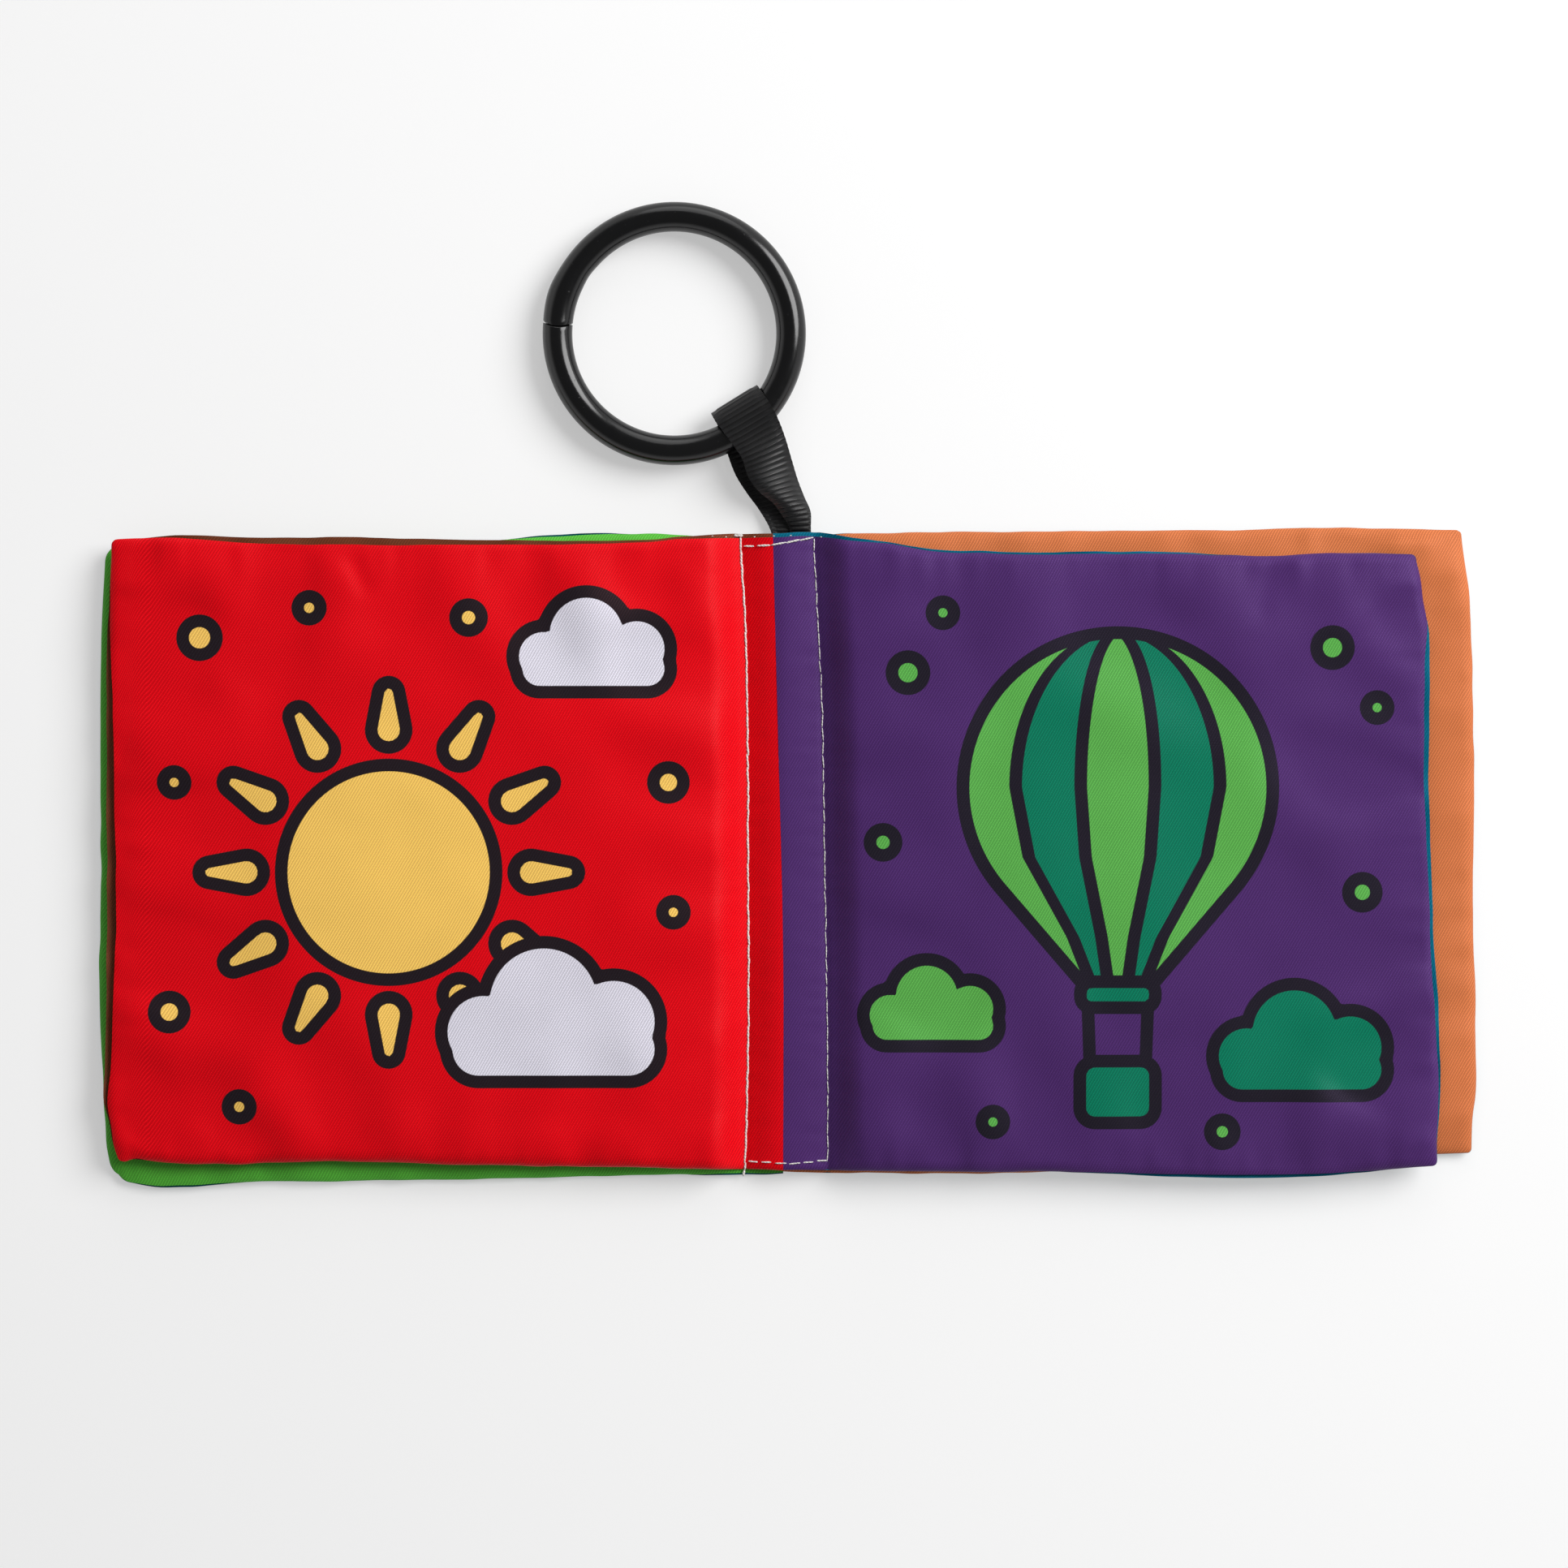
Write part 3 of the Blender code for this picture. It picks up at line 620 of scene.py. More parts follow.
def leafSheet(leafName, face, columns, startLine):
    # face is 1 for a front cloth and -1 for a back cloth; columns spreads a row's grid points from its start
    leaf = leaves[leafName]
    hand = leaf["hand"]
    side = hinges[hand]["side"]
    form = leafForm
    plain = step["printed"] if face > 0 and leafName in prints else step["plain"]
    nominal = rowPlaces(form["nominal"], plain)
    rowShare = nominal / nominal[-1]
    rows = len(rowShare)
    y = (rowShare - 0.5) * form["tall"]
    edge = curve(leaf["edge"], y) * leaf["nearer"] + outlineRipple(y, leaf["seed"] + 60)
    edgePeek = curve(leaf["edgePeek"], y)
    outermost = edge + np.maximum(edgePeek, 0)
    quarterAtEdge = rimPath(np.zeros(rows), edgePeek, form["rim"], face)[2]
    lengths = outermost - quarterAtEdge
    start = startLine(hand)(y)
    s = np.array([columns(hand, *row, plain) for row in zip(start, lengths, y)])
    fromEdge = lengths[:, None] - s
    edgeIn, edgeHeight, _ = rimPath(fromEdge, edgePeek[:, None], form["rim"], face)
    out = outermost[:, None] - edgeIn

    stitch = curve(hinges[hand]["stitch"], y)[:, None]
    steep, slow = form["slopeShares"]
    fullness = steep * ease((out - stitch) / form["spineSlope"]) + slow * easeOut((out - stitch) / form["spineEnd"])
    rim = form["spineRim"] + (form["rim"] - form["spineRim"]) * fullness
    rimHalf = form["spineHalf"] + (leaf["rimHalf"] - form["spineHalf"]) * fullness
    half = form["spineHalf"] + (form["full"] - form["spineHalf"]) * fullness
    middle = leaf["spineMiddle"] + (leaf["middle"] - leaf["spineMiddle"]) * fullness

    head = curve(leaf["head"], out) * leaf["nearer"] + outlineRipple(out, leaf["seed"] + 61)
    headPeek = np.minimum(curve(leaf["headPeek"], out), form["mostPeek"] * rim)
    foot = curve(leaf["foot"], out) * leaf["nearer"] + outlineRipple(out, leaf["seed"] + 62)
    footPeek = np.minimum(curve(leaf["footPeek"], out), form["mostPeek"] * rim)
    topLine = head + np.maximum(headPeek, 0)
    footLine = foot - np.maximum(footPeek, 0)
    topQuarter = rimPath(np.zeros_like(out), headPeek, rim, face)[2]
    footQuarter = rimPath(np.zeros_like(out), footPeek, rim, face)[2]
    height = topLine - footLine - topQuarter - footQuarter
    zone = step["zone"]
    place = nominal[:, None] + 0 * height
    stretch = (height - 2 * zone) / (nominal[-1] - 2 * zone)
    upper = np.where(place > nominal[-1] - zone, height - (nominal[-1] - place), zone + (place - zone) * stretch)
    fromFoot = np.where(place < zone, place, upper)
    fromHead = height - fromFoot
    footIn, footHeight, _ = rimPath(fromFoot, footPeek, rim, face)
    headIn, headHeight, _ = rimPath(fromHead, headPeek, rim, face)
    up = np.where(rowShare[:, None] < 0.5, footLine + footIn, topLine - headIn)

    # corners: rounded in plan, thin at the tip
    endIn = np.minimum(footIn, headIn)
    reach = leaf["round"]
    a = np.maximum(reach - edgeIn, 0)
    b = np.maximum(reach - endIn, 0)
    both = (a > 0) & (b > 0)
    squeeze = np.where(both, np.maximum(a, b) / np.maximum(np.hypot(a, b), 1e-9), 1)
    out = out + np.where(both, a * (squeeze - 1), 0)
    up = up + np.where(both, b * (squeeze - 1), 0) * np.where(footIn < headIn, -1, 1)
    nearCorner = np.exp(-(edgeIn ** 2 + endIn ** 2) / form["cornerReach"] ** 2)
    thin = 1 - form["cornerThin"] * nearCorner

    # height: the rim's arc, then the slower rise to the full pad, then the crown
    power = form["rimPower"]
    drop = np.maximum(1 - edgeHeight, 0) ** power + np.maximum(1 - headHeight, 0) ** power
    drop = np.minimum((drop + np.maximum(1 - footHeight, 0) ** power) ** (1 / power), 1)
    rise = easeOut(edgeIn / form["rise"]) * easeOut(endIn / form["rise"])
    u = np.clip((out - stitch) / (edge[:, None] - stitch), 0, 1)
    v = up / (form["tall"] / 2)
    crown = leaf["crown"] * 4 * u * (1 - u) * np.maximum(1 - v * v, 0) if face > 0 else 0
    lift = thin * rimHalf * (1 - drop) + (half - rimHalf) * rise + crown
    folds = wrinkles(leaf, out, up, fromEdge, fromHead, fromFoot, fullness, face) * (1 - nearCorner)
    if face > 0:
        folds = folds + foldHeight(leafName, u, (up + form["tall"] / 2) / form["tall"]) * fullness
        folds = np.where(folds < 0, -leaf["dip"] * np.tanh(-folds / leaf["dip"]), folds)
    z = middle + face * lift + folds * (1 if face > 0 else 0.4 + 0.6 * np.maximum(drop, 0))
    z = z + spineRipples(leaf, out, up, stitch, face)
    if face < 0:
        lowest = leaf["spineMiddle"] - form["spineHalf"] - leaf["sag"]
        z = np.maximum(z, lowest + (leaf["floor"] - lowest) * fullness)
    else:
        highest = leaf["spineRoof"]
        z = np.minimum(z, highest + (leaf["roof"] - highest) * fullness)
    points = np.stack([side * out, up, z], axis=-1)
    cut = np.stack([side * s * face, fromFoot - nominal[-1] / 2, 0 * s], axis=-1)
    return points, cut, np.clip(lift / form["wallRoom"], form["thinnest"], 1)


def outlineRipple(along, seed):
    return leafForm["ripple"] * softNoise(along, 0 * along, leafForm["rippleSize"], seed)


def wrinkles(leaf, out, up, fromEdge, fromHead, fromFoot, fullness, face):
    seed = leaf["seed"] + (0 if face > 0 else 50)
    broad = sum(height * softNoise(out, up, size, seed + index)
                for index, (size, height) in enumerate(wrinkle["hills"]))
    inner = np.minimum(np.minimum(fromEdge, fromHead), fromFoot)
    total = broad * easeOut(inner / wrinkle["clear"], wrinkle["clearPower"])
    for index, (distance, along) in enumerate(((fromEdge, up), (fromHead, out), (fromFoot, out))):
        near = np.clip(distance, 0, None) / wrinkle["puckerAt"]
        fade = near * np.exp(1 - near) * wrinkle["puckerShare"]
        fade = fade + wrinkle["rimShare"] * np.exp(-((distance / wrinkle["rimReach"]) ** 2))
        pleats = sum(share * softNoise(along, distance * slant, size, leaf["seed"] + seed + index)
                     for size, slant, share, seed in wrinkle["pleats"])
        total += wrinkle["puckerHeight"] * fade * pleats
    if face > 0:
        for start, end, width, depth in leaf["creases"]:
            total += crease(out, up, start, end, width, depth)
    return total * fullness


def spineRipples(leaf, out, up, stitch, face):
    # the strip between the seams rises to the colour line, is drawn in at the stitches and ripples across them
    sag = -leaf["sag"] * np.exp(-(((out - stitch) / leafForm["sagReach"]) ** 2))
    if face < 0:
        return sag
    ridge = leaf["ridge"] * np.maximum(1 - np.sqrt((out / stitch) ** 2 + leafForm["ridgeRound"]), 0)
    groove = -leafForm["groove"] * np.exp(-(((out - stitch) / leafForm["grooveReach"]) ** 2))
    ripple = leafForm["spineRipple"] * softNoise(out * 0.4, up, leafForm["spineRippleSize"], leaf["seed"] + 30)
    ripple = ripple * np.exp(-(((out - stitch) / leafForm["spineRippleReach"]) ** 2))
    return sag + ridge + groove + ripple


def pageColumns(hand, start, length, y, plainStep):
    # from the colour line across the spine, dense where the cloth folds, then on to the free edge
    begin = hingeLine(hand, "pageStart", y) - step["beforeFold"]
    end = hingeLine(hand, "pageStart", y) + hinges["pageWidth"] + step["afterFold"]
    spine = np.linspace(start, begin, step["spineColumns"], endpoint=False)
    return np.concatenate([spine, foldColumns(begin, end), *leafColumns(end, length, step["pageRun"], plainStep)])


def coverColumns(hand, start, length, y, plainStep):
    # from the fold next to the spine to the free edge
    end = start + hinges["coverWidth"] + step["afterCoverFold"]
    return np.concatenate([foldColumns(start, end), *leafColumns(end, length, step["coverRun"], plainStep)])


def bridgeColumns(hand, start, length, y, plainStep):
    # the outer sheet's part of the spine, out to where the cover's own cloth begins
    return np.linspace(start, hingeLine(hand, "coverStart", y), step["bridgeColumns"])


def foldColumns(start, end):
    return np.linspace(start, end, int(round((end - start) / step["hinge"])))[:-1]


def leafColumns(start, length, run, plainStep):
    # the same number in every row, for a leaf about run wide
    plain = np.linspace(start, length - step["zone"], int(round(run / plainStep)))
    return plain, length - np.arange(0, step["zone"], step["fine"])[::-1]


def colourLine(hand):
    return lambda y: hinges[hand]["side"] * curve(hinges["colourLine"], y)


def middleLine(hand):
    return lambda y: 0 * y


def coverLine(hand):
    return lambda y: hingeLine(hand, "coverStart", y)


# Colours as they are written in the cloth, in linear light

colours = {
    "red": (0.77, 0.001, 0.007),
    "brown": (0.17, 0.048, 0.020),
    "purple": (0.070, 0.023, 0.135),
    "blueTeal": (0.0, 0.14, 0.23),
    "green": (0.105, 0.50, 0.052),
    "darkTeal": (0.0, 0.085, 0.115),
    "orange": (0.60, 0.17, 0.058),
    "black": (0.011, 0.010, 0.014),
    "gold": (0.98, 0.61, 0.135),
    "white": (0.76, 0.74, 0.84),
    "brightGreen": (0.105, 0.42, 0.072),
    "deepGreen": (0.0, 0.19, 0.10),
}

# Printed motifs: signed distances in millimetres, negative inside a shape, measured from the middle of the page

prints = {
    "redPage": {
        "middle": (-71.0, 0.0),
        "sun": {"at": (-8.0, -4.0), "radius": 21.5, "rays": 12, "rayFrom": 28.5, "rayTo": 36.0, "rayWide": 3.5,
                "rayTip": 2.1},
        "lowCloud": {"at": (25.0, -35.0), "size": 1.0},
        "highCloud": {"at": (33.0, 40.0), "size": 0.72},
        "dots": [(-46, 43, 3.4), (-24, 49, 2.3), (8, 47, 2.6), (48, 14, 3.0), (-52, -32, 3.0), (-38, -51, 2.3),
                 (49, -12, 2.2), (-51, 14, 2.2)],
    },
    "purplePage": {
        "middle": (70.0, -2.0),
        "balloon": {"at": (-3.0, 15.0), "radius": 31.0, "mouth": 7.5, "drop": 36.0, "gores": (0.24, 0.66)},
        "mouthBand": {"at": (-3.0, -26.5), "half": (7.5, 2.6), "corner": 2.2},
        "basket": {"at": (-3.0, -46.0), "half": (7.6, 6.2), "corner": 3.0},
        "ropes": [((-9.0, -28.0), (-8.6, -41.0)), ((3.0, -28.0), (2.6, -41.0))],
        "lowCloud": {"at": (34.0, -38.0), "size": 0.8},
        "highCloud": {"at": (-40.0, -30.0), "size": 0.62},
        "dots": [(-45, 38, 3.2), (-38, 50, 2.2), (40, 43, 3.2), (49, 31, 2.2), (-50, 4, 2.6), (46, -6, 2.8),
                 (-28, -52, 2.2), (18, -54, 2.4)],
    },
}


def toDisc(x, y, at, radius):
    return np.hypot(x - at[0], y - at[1]) - radius


def toStroke(x, y, start, end, radius=0.0):
    way = np.array(end, float) - np.array(start, float)
    share = ((x - start[0]) * way[0] + (y - start[1]) * way[1]) / (way @ way)
    share = np.clip(share, 0, 1)
    return np.hypot(x - start[0] - share * way[0], y - start[1] - share * way[1]) - radius


def toTaper(x, y, near, far, length):
    # a round of radius near at the origin that narrows along +y to a round of radius far
    x = np.abs(x)
    lean = (near - far) / length
    level = math.sqrt(1 - lean * lean)
    along = -lean * x + level * y
    side = level * x + lean * y - near
    tip = np.where(along > level * length, np.hypot(x, y - length) - far, side)
    return np.where(along < 0, np.hypot(x, y) - near, tip)


def toBox(x, y, at, half, corner):
    dx = np.abs(x - at[0]) - half[0] + corner
    dy = np.abs(y - at[1]) - half[1] + corner
    return np.hypot(np.maximum(dx, 0), np.maximum(dy, 0)) + np.minimum(np.maximum(dx, dy), 0) - corner


def toCloud(x, y, at, size):
    u = (x - at[0]) / size
    v = (y - at[1]) / size
    puffs = [toDisc(u, v, (-14, -1), 8.5), toDisc(u, v, (-2, 5), 12), toDisc(u, v, (12, 1), 9.5)]
    puffs.append(toStroke(u, v, (-15, -4.5), (15, -4.5), 6.5))
    return np.minimum.reduce(puffs) * size


def toRays(x, y, sun):
    u = x - sun["at"][0]
    v = y - sun["at"][1]
    sector = 2 * math.pi / sun["rays"]
    angle = (np.arctan2(v, u) + sector / 2) % sector - sector / 2
    reach = np.hypot(u, v)
    return toTaper(reach * np.sin(angle), reach * np.cos(angle) - sun["rayFrom"], sun["rayWide"], sun["rayTip"],
                   sun["rayTo"] - sun["rayFrom"])


def printFields(leafName, x, y):
    design = prints[leafName]
    u = x - design["middle"][0]
    v = y - design["middle"][1]
    spots = np.array(design["dots"])
    distances = np.array([toDisc(u, v, (px, py), radius) for px, py, radius in design["dots"]])
    spot = spots[np.argmin(distances, axis=0)]
    dots = np.stack([u - spot[..., 0], v - spot[..., 1], spot[..., 2]], axis=-1)
    fields = {"inkDots": dots, "inkDotsNear": distances.min(axis=0)}
    fields["inkLowCloud"] = toCloud(u, v, **design["lowCloud"])
    fields["inkHighCloud"] = toCloud(u, v, **design["highCloud"])
    if leafName == "redPage":
        fields["inkDisc"] = toDisc(u, v, design["sun"]["at"], design["sun"]["radius"])
        fields["inkRays"] = toRays(u, v, design["sun"])
        return fields
    balloon = design["balloon"]
    bx = u - balloon["at"][0]
    by = balloon["at"][1] - v
    fields["inkBalloon"] = toTaper(bx, by, balloon["radius"], balloon["mouth"], balloon["drop"])
    half = np.where(by < 0, np.sqrt(np.maximum(balloon["radius"] ** 2 - by ** 2, 1)),
                    np.interp(by, [0, 14, 30, balloon["drop"] + 6], [balloon["radius"], 27.0, 13.6, 6.5]))
    for name, share in zip(("inkInnerGore", "inkOuterGore"), balloon["gores"]):
        fields[name] = np.abs(bx) - share * half
    fields["inkBand"] = toBox(u, v, **design["mouthBand"])
    fields["inkBasket"] = toBox(u, v, **design["basket"])
    fields["inkRopes"] = np.minimum.reduce([toStroke(u, v, *rope) for rope in design["ropes"]])
    return fields


ink = {"line": 1.28, "sharpness": 8.0, "dotGuard": 1.5}


def inkMask(tree, distance):
    # 1 where the signed distance is negative, 0 outside
    return tree.calc("SUBTRACT", 0.5, distance * ink["sharpness"], True)


def nearestDot(tree):
    # the vector to the nearest dot's middle is straight over the cloth, so its dot stays round between grid points
    near = attribute(tree, "inkDots")
    parts = [tree.part(near, index) for index in range(3)]
    reach = tree.calc("SQRT", parts[0] * parts[0] + parts[1] * parts[1])
    return tree.calc("MAXIMUM", reach - parts[2], attribute(tree, "inkDotsNear", 2) - ink["dotGuard"])


def paintLayers(layers):
    # each layer: field, fill, and the field that clips it; later layers lie over earlier ones
    def paint(tree, base):
        colour = base
        for field, fill, clip in layers:
            distance = nearestDot(tree) if field == "inkDots" else attribute(tree, field, 2)
            within = inkMask(tree, attribute(tree, clip, 2)) if clip else None
            if fill:
                inside = inkMask(tree, distance)
                inside = inside * within if clip else inside
                colour = tree.mix(inside, colour, colours[fill])
            outline = inkMask(tree, abs(distance) - ink["line"])
            outline = outline * within if clip else outline
            colour = tree.mix(outline, colour, colours["black"])
        return colour
    return paint


printLayers = {
    "redPage": [("inkRays", "gold", None), ("inkDisc", "gold", None), ("inkDots", "gold", None),
                ("inkLowCloud", "white", None), ("inkHighCloud", "white", None)],
    "purplePage": [("inkRopes", None, None), ("inkBalloon", "brightGreen", None),
                   ("inkOuterGore", "deepGreen", "inkBalloon"), ("inkInnerGore", "brightGreen", "inkBalloon"),
                   ("inkBalloon", None, None), ("inkBand", "deepGreen", None), ("inkBasket", "deepGreen", None),
                   ("inkDots", "brightGreen", None), ("inkLowCloud", "deepGreen", None),
                   ("inkHighCloud", "brightGreen", None)],
}

clothKinds = {"page": (pageColumns, colourLine), "bridge": (bridgeColumns, middleLine),
              "cover": (coverColumns, coverLine)}

cloths = [
    # piece, leaf, face, kind, colour, slot, replaced nodes
    ("red_page_front", "redPage", 1, "page", "red", "red_satin", ("left_page_front_cloth", "spine_inner_front_cloth")),
    ("red_page_back", "redPage", -1, "page", "brown", "brown_satin",
     ("left_page_back_cloth", "spine_inner_back_cloth")),
    ("purple_page_front", "purplePage", 1, "page", "purple", "purple_satin", ("right_page_front_cloth",)),
    ("purple_page_back", "purplePage", -1, "page", "blueTeal", "blue_teal_satin", ("right_page_back_cloth",)),
    ("green_spine_strip", "greenCover", 1, "bridge", "green", "green_satin", ("spine_outer_front_cloth",)),
    ("orange_spine_strip", "orangeCover", 1, "bridge", "orange", "orange_satin", ()),
    ("left_spine_outside", "greenCover", -1, "bridge", "darkTeal", "dark_teal_satin", ("spine_outer_back_cloth",)),
    ("right_spine_outside", "orangeCover", -1, "bridge", "darkTeal", "dark_teal_satin", ()),
    ("green_cover_front", "greenCover", 1, "cover", "green", "green_satin", ("left_cover_front_cloth",)),
    ("orange_cover_front", "orangeCover", 1, "cover", "orange", "orange_satin", ("right_cover_front_cloth",)),
    ("left_cover_outside", "greenCover", -1, "cover", "darkTeal", "dark_teal_satin", ("left_cover_back_cloth",)),
    ("right_cover_outside", "orangeCover", -1, "cover", "darkTeal", "dark_teal_satin", ("right_cover_back_cloth",)),
]


def addCloths():
    satins = {}
    tops = []
    for name, leafName, face, kind, colour, slot, nodes in cloths:
        points, cut, wallShare = leafSheet(leafName, face, *clothKinds[kind])
        printed = face > 0 and leafName in prints
        fields = printFields(leafName, points[..., 0], points[..., 1]) if printed else None
        piece = gridPiece(name, points, cut, face > 0, clothThickness, fields, wallShare=wallShare)
        if colour not in satins:
            paint = paintLayers(printLayers[leafName]) if printed else None
            satins[colour] = satinMaterial(colour + " satin", colours[colour], paint)
        dress(piece, satins[colour], slot, *nodes)
        if kind == "cover":
            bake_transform(piece)
        else:
            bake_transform(piece)
        if leafName.endswith("Page") and face > 0:
            tops.append(points)
    return tops


def seenRay(tree):
    camera, glossy, through = [tree.make("LightPath", None, None, "Is %s Ray" % kind)
                               for kind in ("Camera", "Glossy", "Transmission")]
    return tree.calc("ADD", camera + glossy, through, True)


def addFloor():
    bpy.ops.mesh.primitive_plane_add(size=studio["floorSize"], location=(0, 0, 0))
    floor = bpy.context.object
    floor.name = "floor"
    material = bpy.data.materials.new("white table")
    material.use_nodes = True
    nodes = material.node_tree
    tree = Wire(nodes)
    shader = nodes.nodes["Principled BSDF"]
    shader.inputs["Roughness"].default_value = studio["floorRoughness"]
    shader.inputs["Specular IOR Level"].default_value = 0.0
    ray = seenRay(tree)
    shade = tree.mix(ray, (studio["floorBounce"],) * 3, (1 - studio["floorOwn"],) * 3)
    nodes.links.new(shade.socket, shader.inputs["Base Color"])
    nodes.links.new(ray.socket, shader.inputs["Emission Strength"])
    shader.inputs["Emission Color"].default_value = (studio["floorOwn"],) * 3 + (1,)
    floor.data.materials.append(material)
    floor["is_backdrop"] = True


def addSky():
    world = bpy.data.worlds.new("studio")
    world.use_nodes = True
    bpy.context.scene.world = world
    nodes = world.node_tree
    tree = Wire(nodes)
    back = nodes.nodes["Background"]
    back.inputs["Color"].default_value = (1, 1, 1, 1)
    # white low down, behind the table, and a plainer ceiling
    way = tree.make("TexCoord", None, None, "Generated")
    ceiling = tree.ramp(tree.part(way, 2), *studio["ceilingFrom"])
    seen = seenRay(tree) * (1 - ceiling)
    strength = seen * (1 - studio["skyStrength"]) + studio["skyStrength"]
    nodes.links.new(strength.socket, back.inputs["Strength"])


# What the leaves hold: thin wadding and a crinkle film

filling = {
    "waddingCuts": 15,
    "waddingRound": 0.48,
    "lumpSize": 11,
    "pullPower": 8,
    "swell": 0.1,
    "thinner": 0.5,
    "lump": 0.08,
    "cornerPull": 1.2,
    "filmRuffle": 0.05,
    "filmSteps": 40,
    "filmThickness": 0.05,
    "facets": [(6, 81), (3, 82)],      # size and seed
}


def leafBlock(name, low, high, add, **settings):
    # a primitive one metre large, brought to the size and place of a box
    bpy.ops.object.select_all(action="DESELECT")
    middle = [(a + b) / 2 for a, b in zip(low, high)]
    add(size=1, location=middle, **settings)
    piece = bpy.context.object
    piece.name = name
    return piece, middle


def addWadding(leafName):
    low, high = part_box(leafName + "_batting")
    high.z -= filling["thinner"] * mm
    piece, middle = leafBlock(leafName + "_wadding", low, high, bpy.ops.mesh.primitive_cube_add,
                              scale=[b - a for a, b in zip(low, high)])
    bpy.ops.object.transform_apply(location=True, rotation=True, scale=True)
    bevel = piece.modifiers.new("corners", "BEVEL")
    bevel.width = (high.z - low.z) * filling["waddingRound"]
    bevel.segments = 3
    bpy.ops.object.modifier_apply(modifier=bevel.name)
    bpy.ops.object.mode_set(mode="EDIT")
    bpy.ops.mesh.select_all(action="SELECT")
    bpy.ops.mesh.subdivide(number_cuts=filling["waddingCuts"])
    bpy.ops.object.mode_set(mode="OBJECT")
    place = readPoints(piece)
    u = (place[:, 0] - middle[0]) / (high.x - low.x) * 2
    v = (place[:, 1] - middle[1]) / (high.y - low.y) * 2
    hill = np.maximum(1 - u * u, 0) * np.maximum(1 - v * v, 0)
    lump = softNoise(place[:, 0] / mm, place[:, 1] / mm, filling["lumpSize"], 70)
    place[:, 0] -= u * np.abs(v) ** filling["pullPower"] * filling["cornerPull"] * mm
    place[:, 1] -= v * np.abs(u) ** filling["pullPower"] * filling["cornerPull"] * mm
    swell = (filling["swell"] + filling["lump"] * lump) * hill * mm
    place[:, 2] += np.where(place[:, 2] > middle[2], swell, 0)
    writePoints(piece, place)
    bpy.ops.object.shade_smooth()
    dress(piece, waddingMaterial(), "batting", leafName + "_batting")
    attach(piece, leafName)


def addFilm(leafName):
    low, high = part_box(leafName + "_crinkle_film")
    piece, _ = leafBlock(leafName + "_rustle_film", low, high, bpy.ops.mesh.primitive_grid_add,
                         x_subdivisions=filling["filmSteps"], y_subdivisions=filling["filmSteps"])
    piece.scale = (high.x - low.x, high.y - low.y, 1)
    bpy.ops.object.transform_apply(location=True, rotation=True, scale=True)
    place = readPoints(piece)
    facets = sum(softNoise(place[:, 0] / mm, place[:, 1] / mm, size, seed) for size, seed in filling["facets"])
    place[:, 2] += facets * filling["filmRuffle"] * mm
    writePoints(piece, place)
    wall = piece.modifiers.new("thickness", "SOLIDIFY")
    wall.thickness = filling["filmThickness"] * mm
    wall.offset = 0
    bpy.ops.object.modifier_apply(modifier=wall.name)
    dress(piece, filmMaterial(), "crinkle_film", leafName + "_crinkle_film")
    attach(piece, leafName)


def waddingMaterial():
    if "polyester wadding" in bpy.data.materials:
        return bpy.data.materials["polyester wadding"]
    material, tree = newMaterial("polyester wadding", {"Roughness": 0.95, "Sheen Weight": 0.3})
    place = tree.place()
    fibre = tree.noise(place, 900.0, 5.0, 2.0)
    clump = tree.noise(place, 120.0, 3.0)
    connect(material, "Base Color", tree.mix(fibre * 0.6 + clump * 0.4, (0.68, 0.68, 0.67), (0.86, 0.86, 0.85)))
    connect(material, "Roughness", 0.85 + clump * 0.15)
    addBump(material, tree, fibre + clump, 0.2 * mm)
    return material


def filmMaterial():
    if "rustling film" in bpy.data.materials:
        return bpy.data.materials["rustling film"]
    material, tree = newMaterial("rustling film", {"Roughness": 0.2, "IOR": 1.5})
    place = tree.place()
    facet = tree.make("TexVoronoi", {"feature": "F1"}, {"Vector": place, "Scale": 220.0})
    haze = tree.noise(place, 300.0, 3.0)
    connect(material, "Base Color", tree.mix(haze, (0.62, 0.65, 0.68), (0.78, 0.80, 0.82)))
    connect(material, "Roughness", 0.12 + haze * 0.18)
    connect(material, "Alpha", 0.55 + haze * 0.2)
    addBump(material, tree, facet * 3.0 + haze, 0.1 * mm)
    return material


def addSeamThreads():
    # the turned seams' threads stay as the frame has them, in the colour of their leaf
    leafNames = ("left_page", "left_cover", "right_page", "right_cover")
    for leaf, colour in zip(leafNames, ("red", "green", "purple", "orange")):
        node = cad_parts[leaf + "_seam_thread"]
        material, tree = newMaterial(colour + " seam thread", {"Roughness": 0.6, "Sheen Weight": 0.2})
        place = tree.place()
        twist = tree.make("TexWave", {"bands_direction": "DIAGONAL"}, {"Vector": place, "Scale": 800.0})
        fuzz = tree.noise(place, 2000.0, 2.0)
        deep = tuple(0.55 * value for value in colours[colour])
        connect(material, "Base Color", tree.mix(twist * 0.6 + fuzz * 0.4, deep, colours[colour]))
        addBump(material, tree, twist + fuzz, 0.03 * mm)
        for index in range(max(len(node.material_slots), 1)):
            if node.material_slots:
                node.material_slots[index].material = material
            else:
                node.data.materials.append(material)


# Lockstitch through the spine: every stitch is a little rope of its own, drawn down at both ends

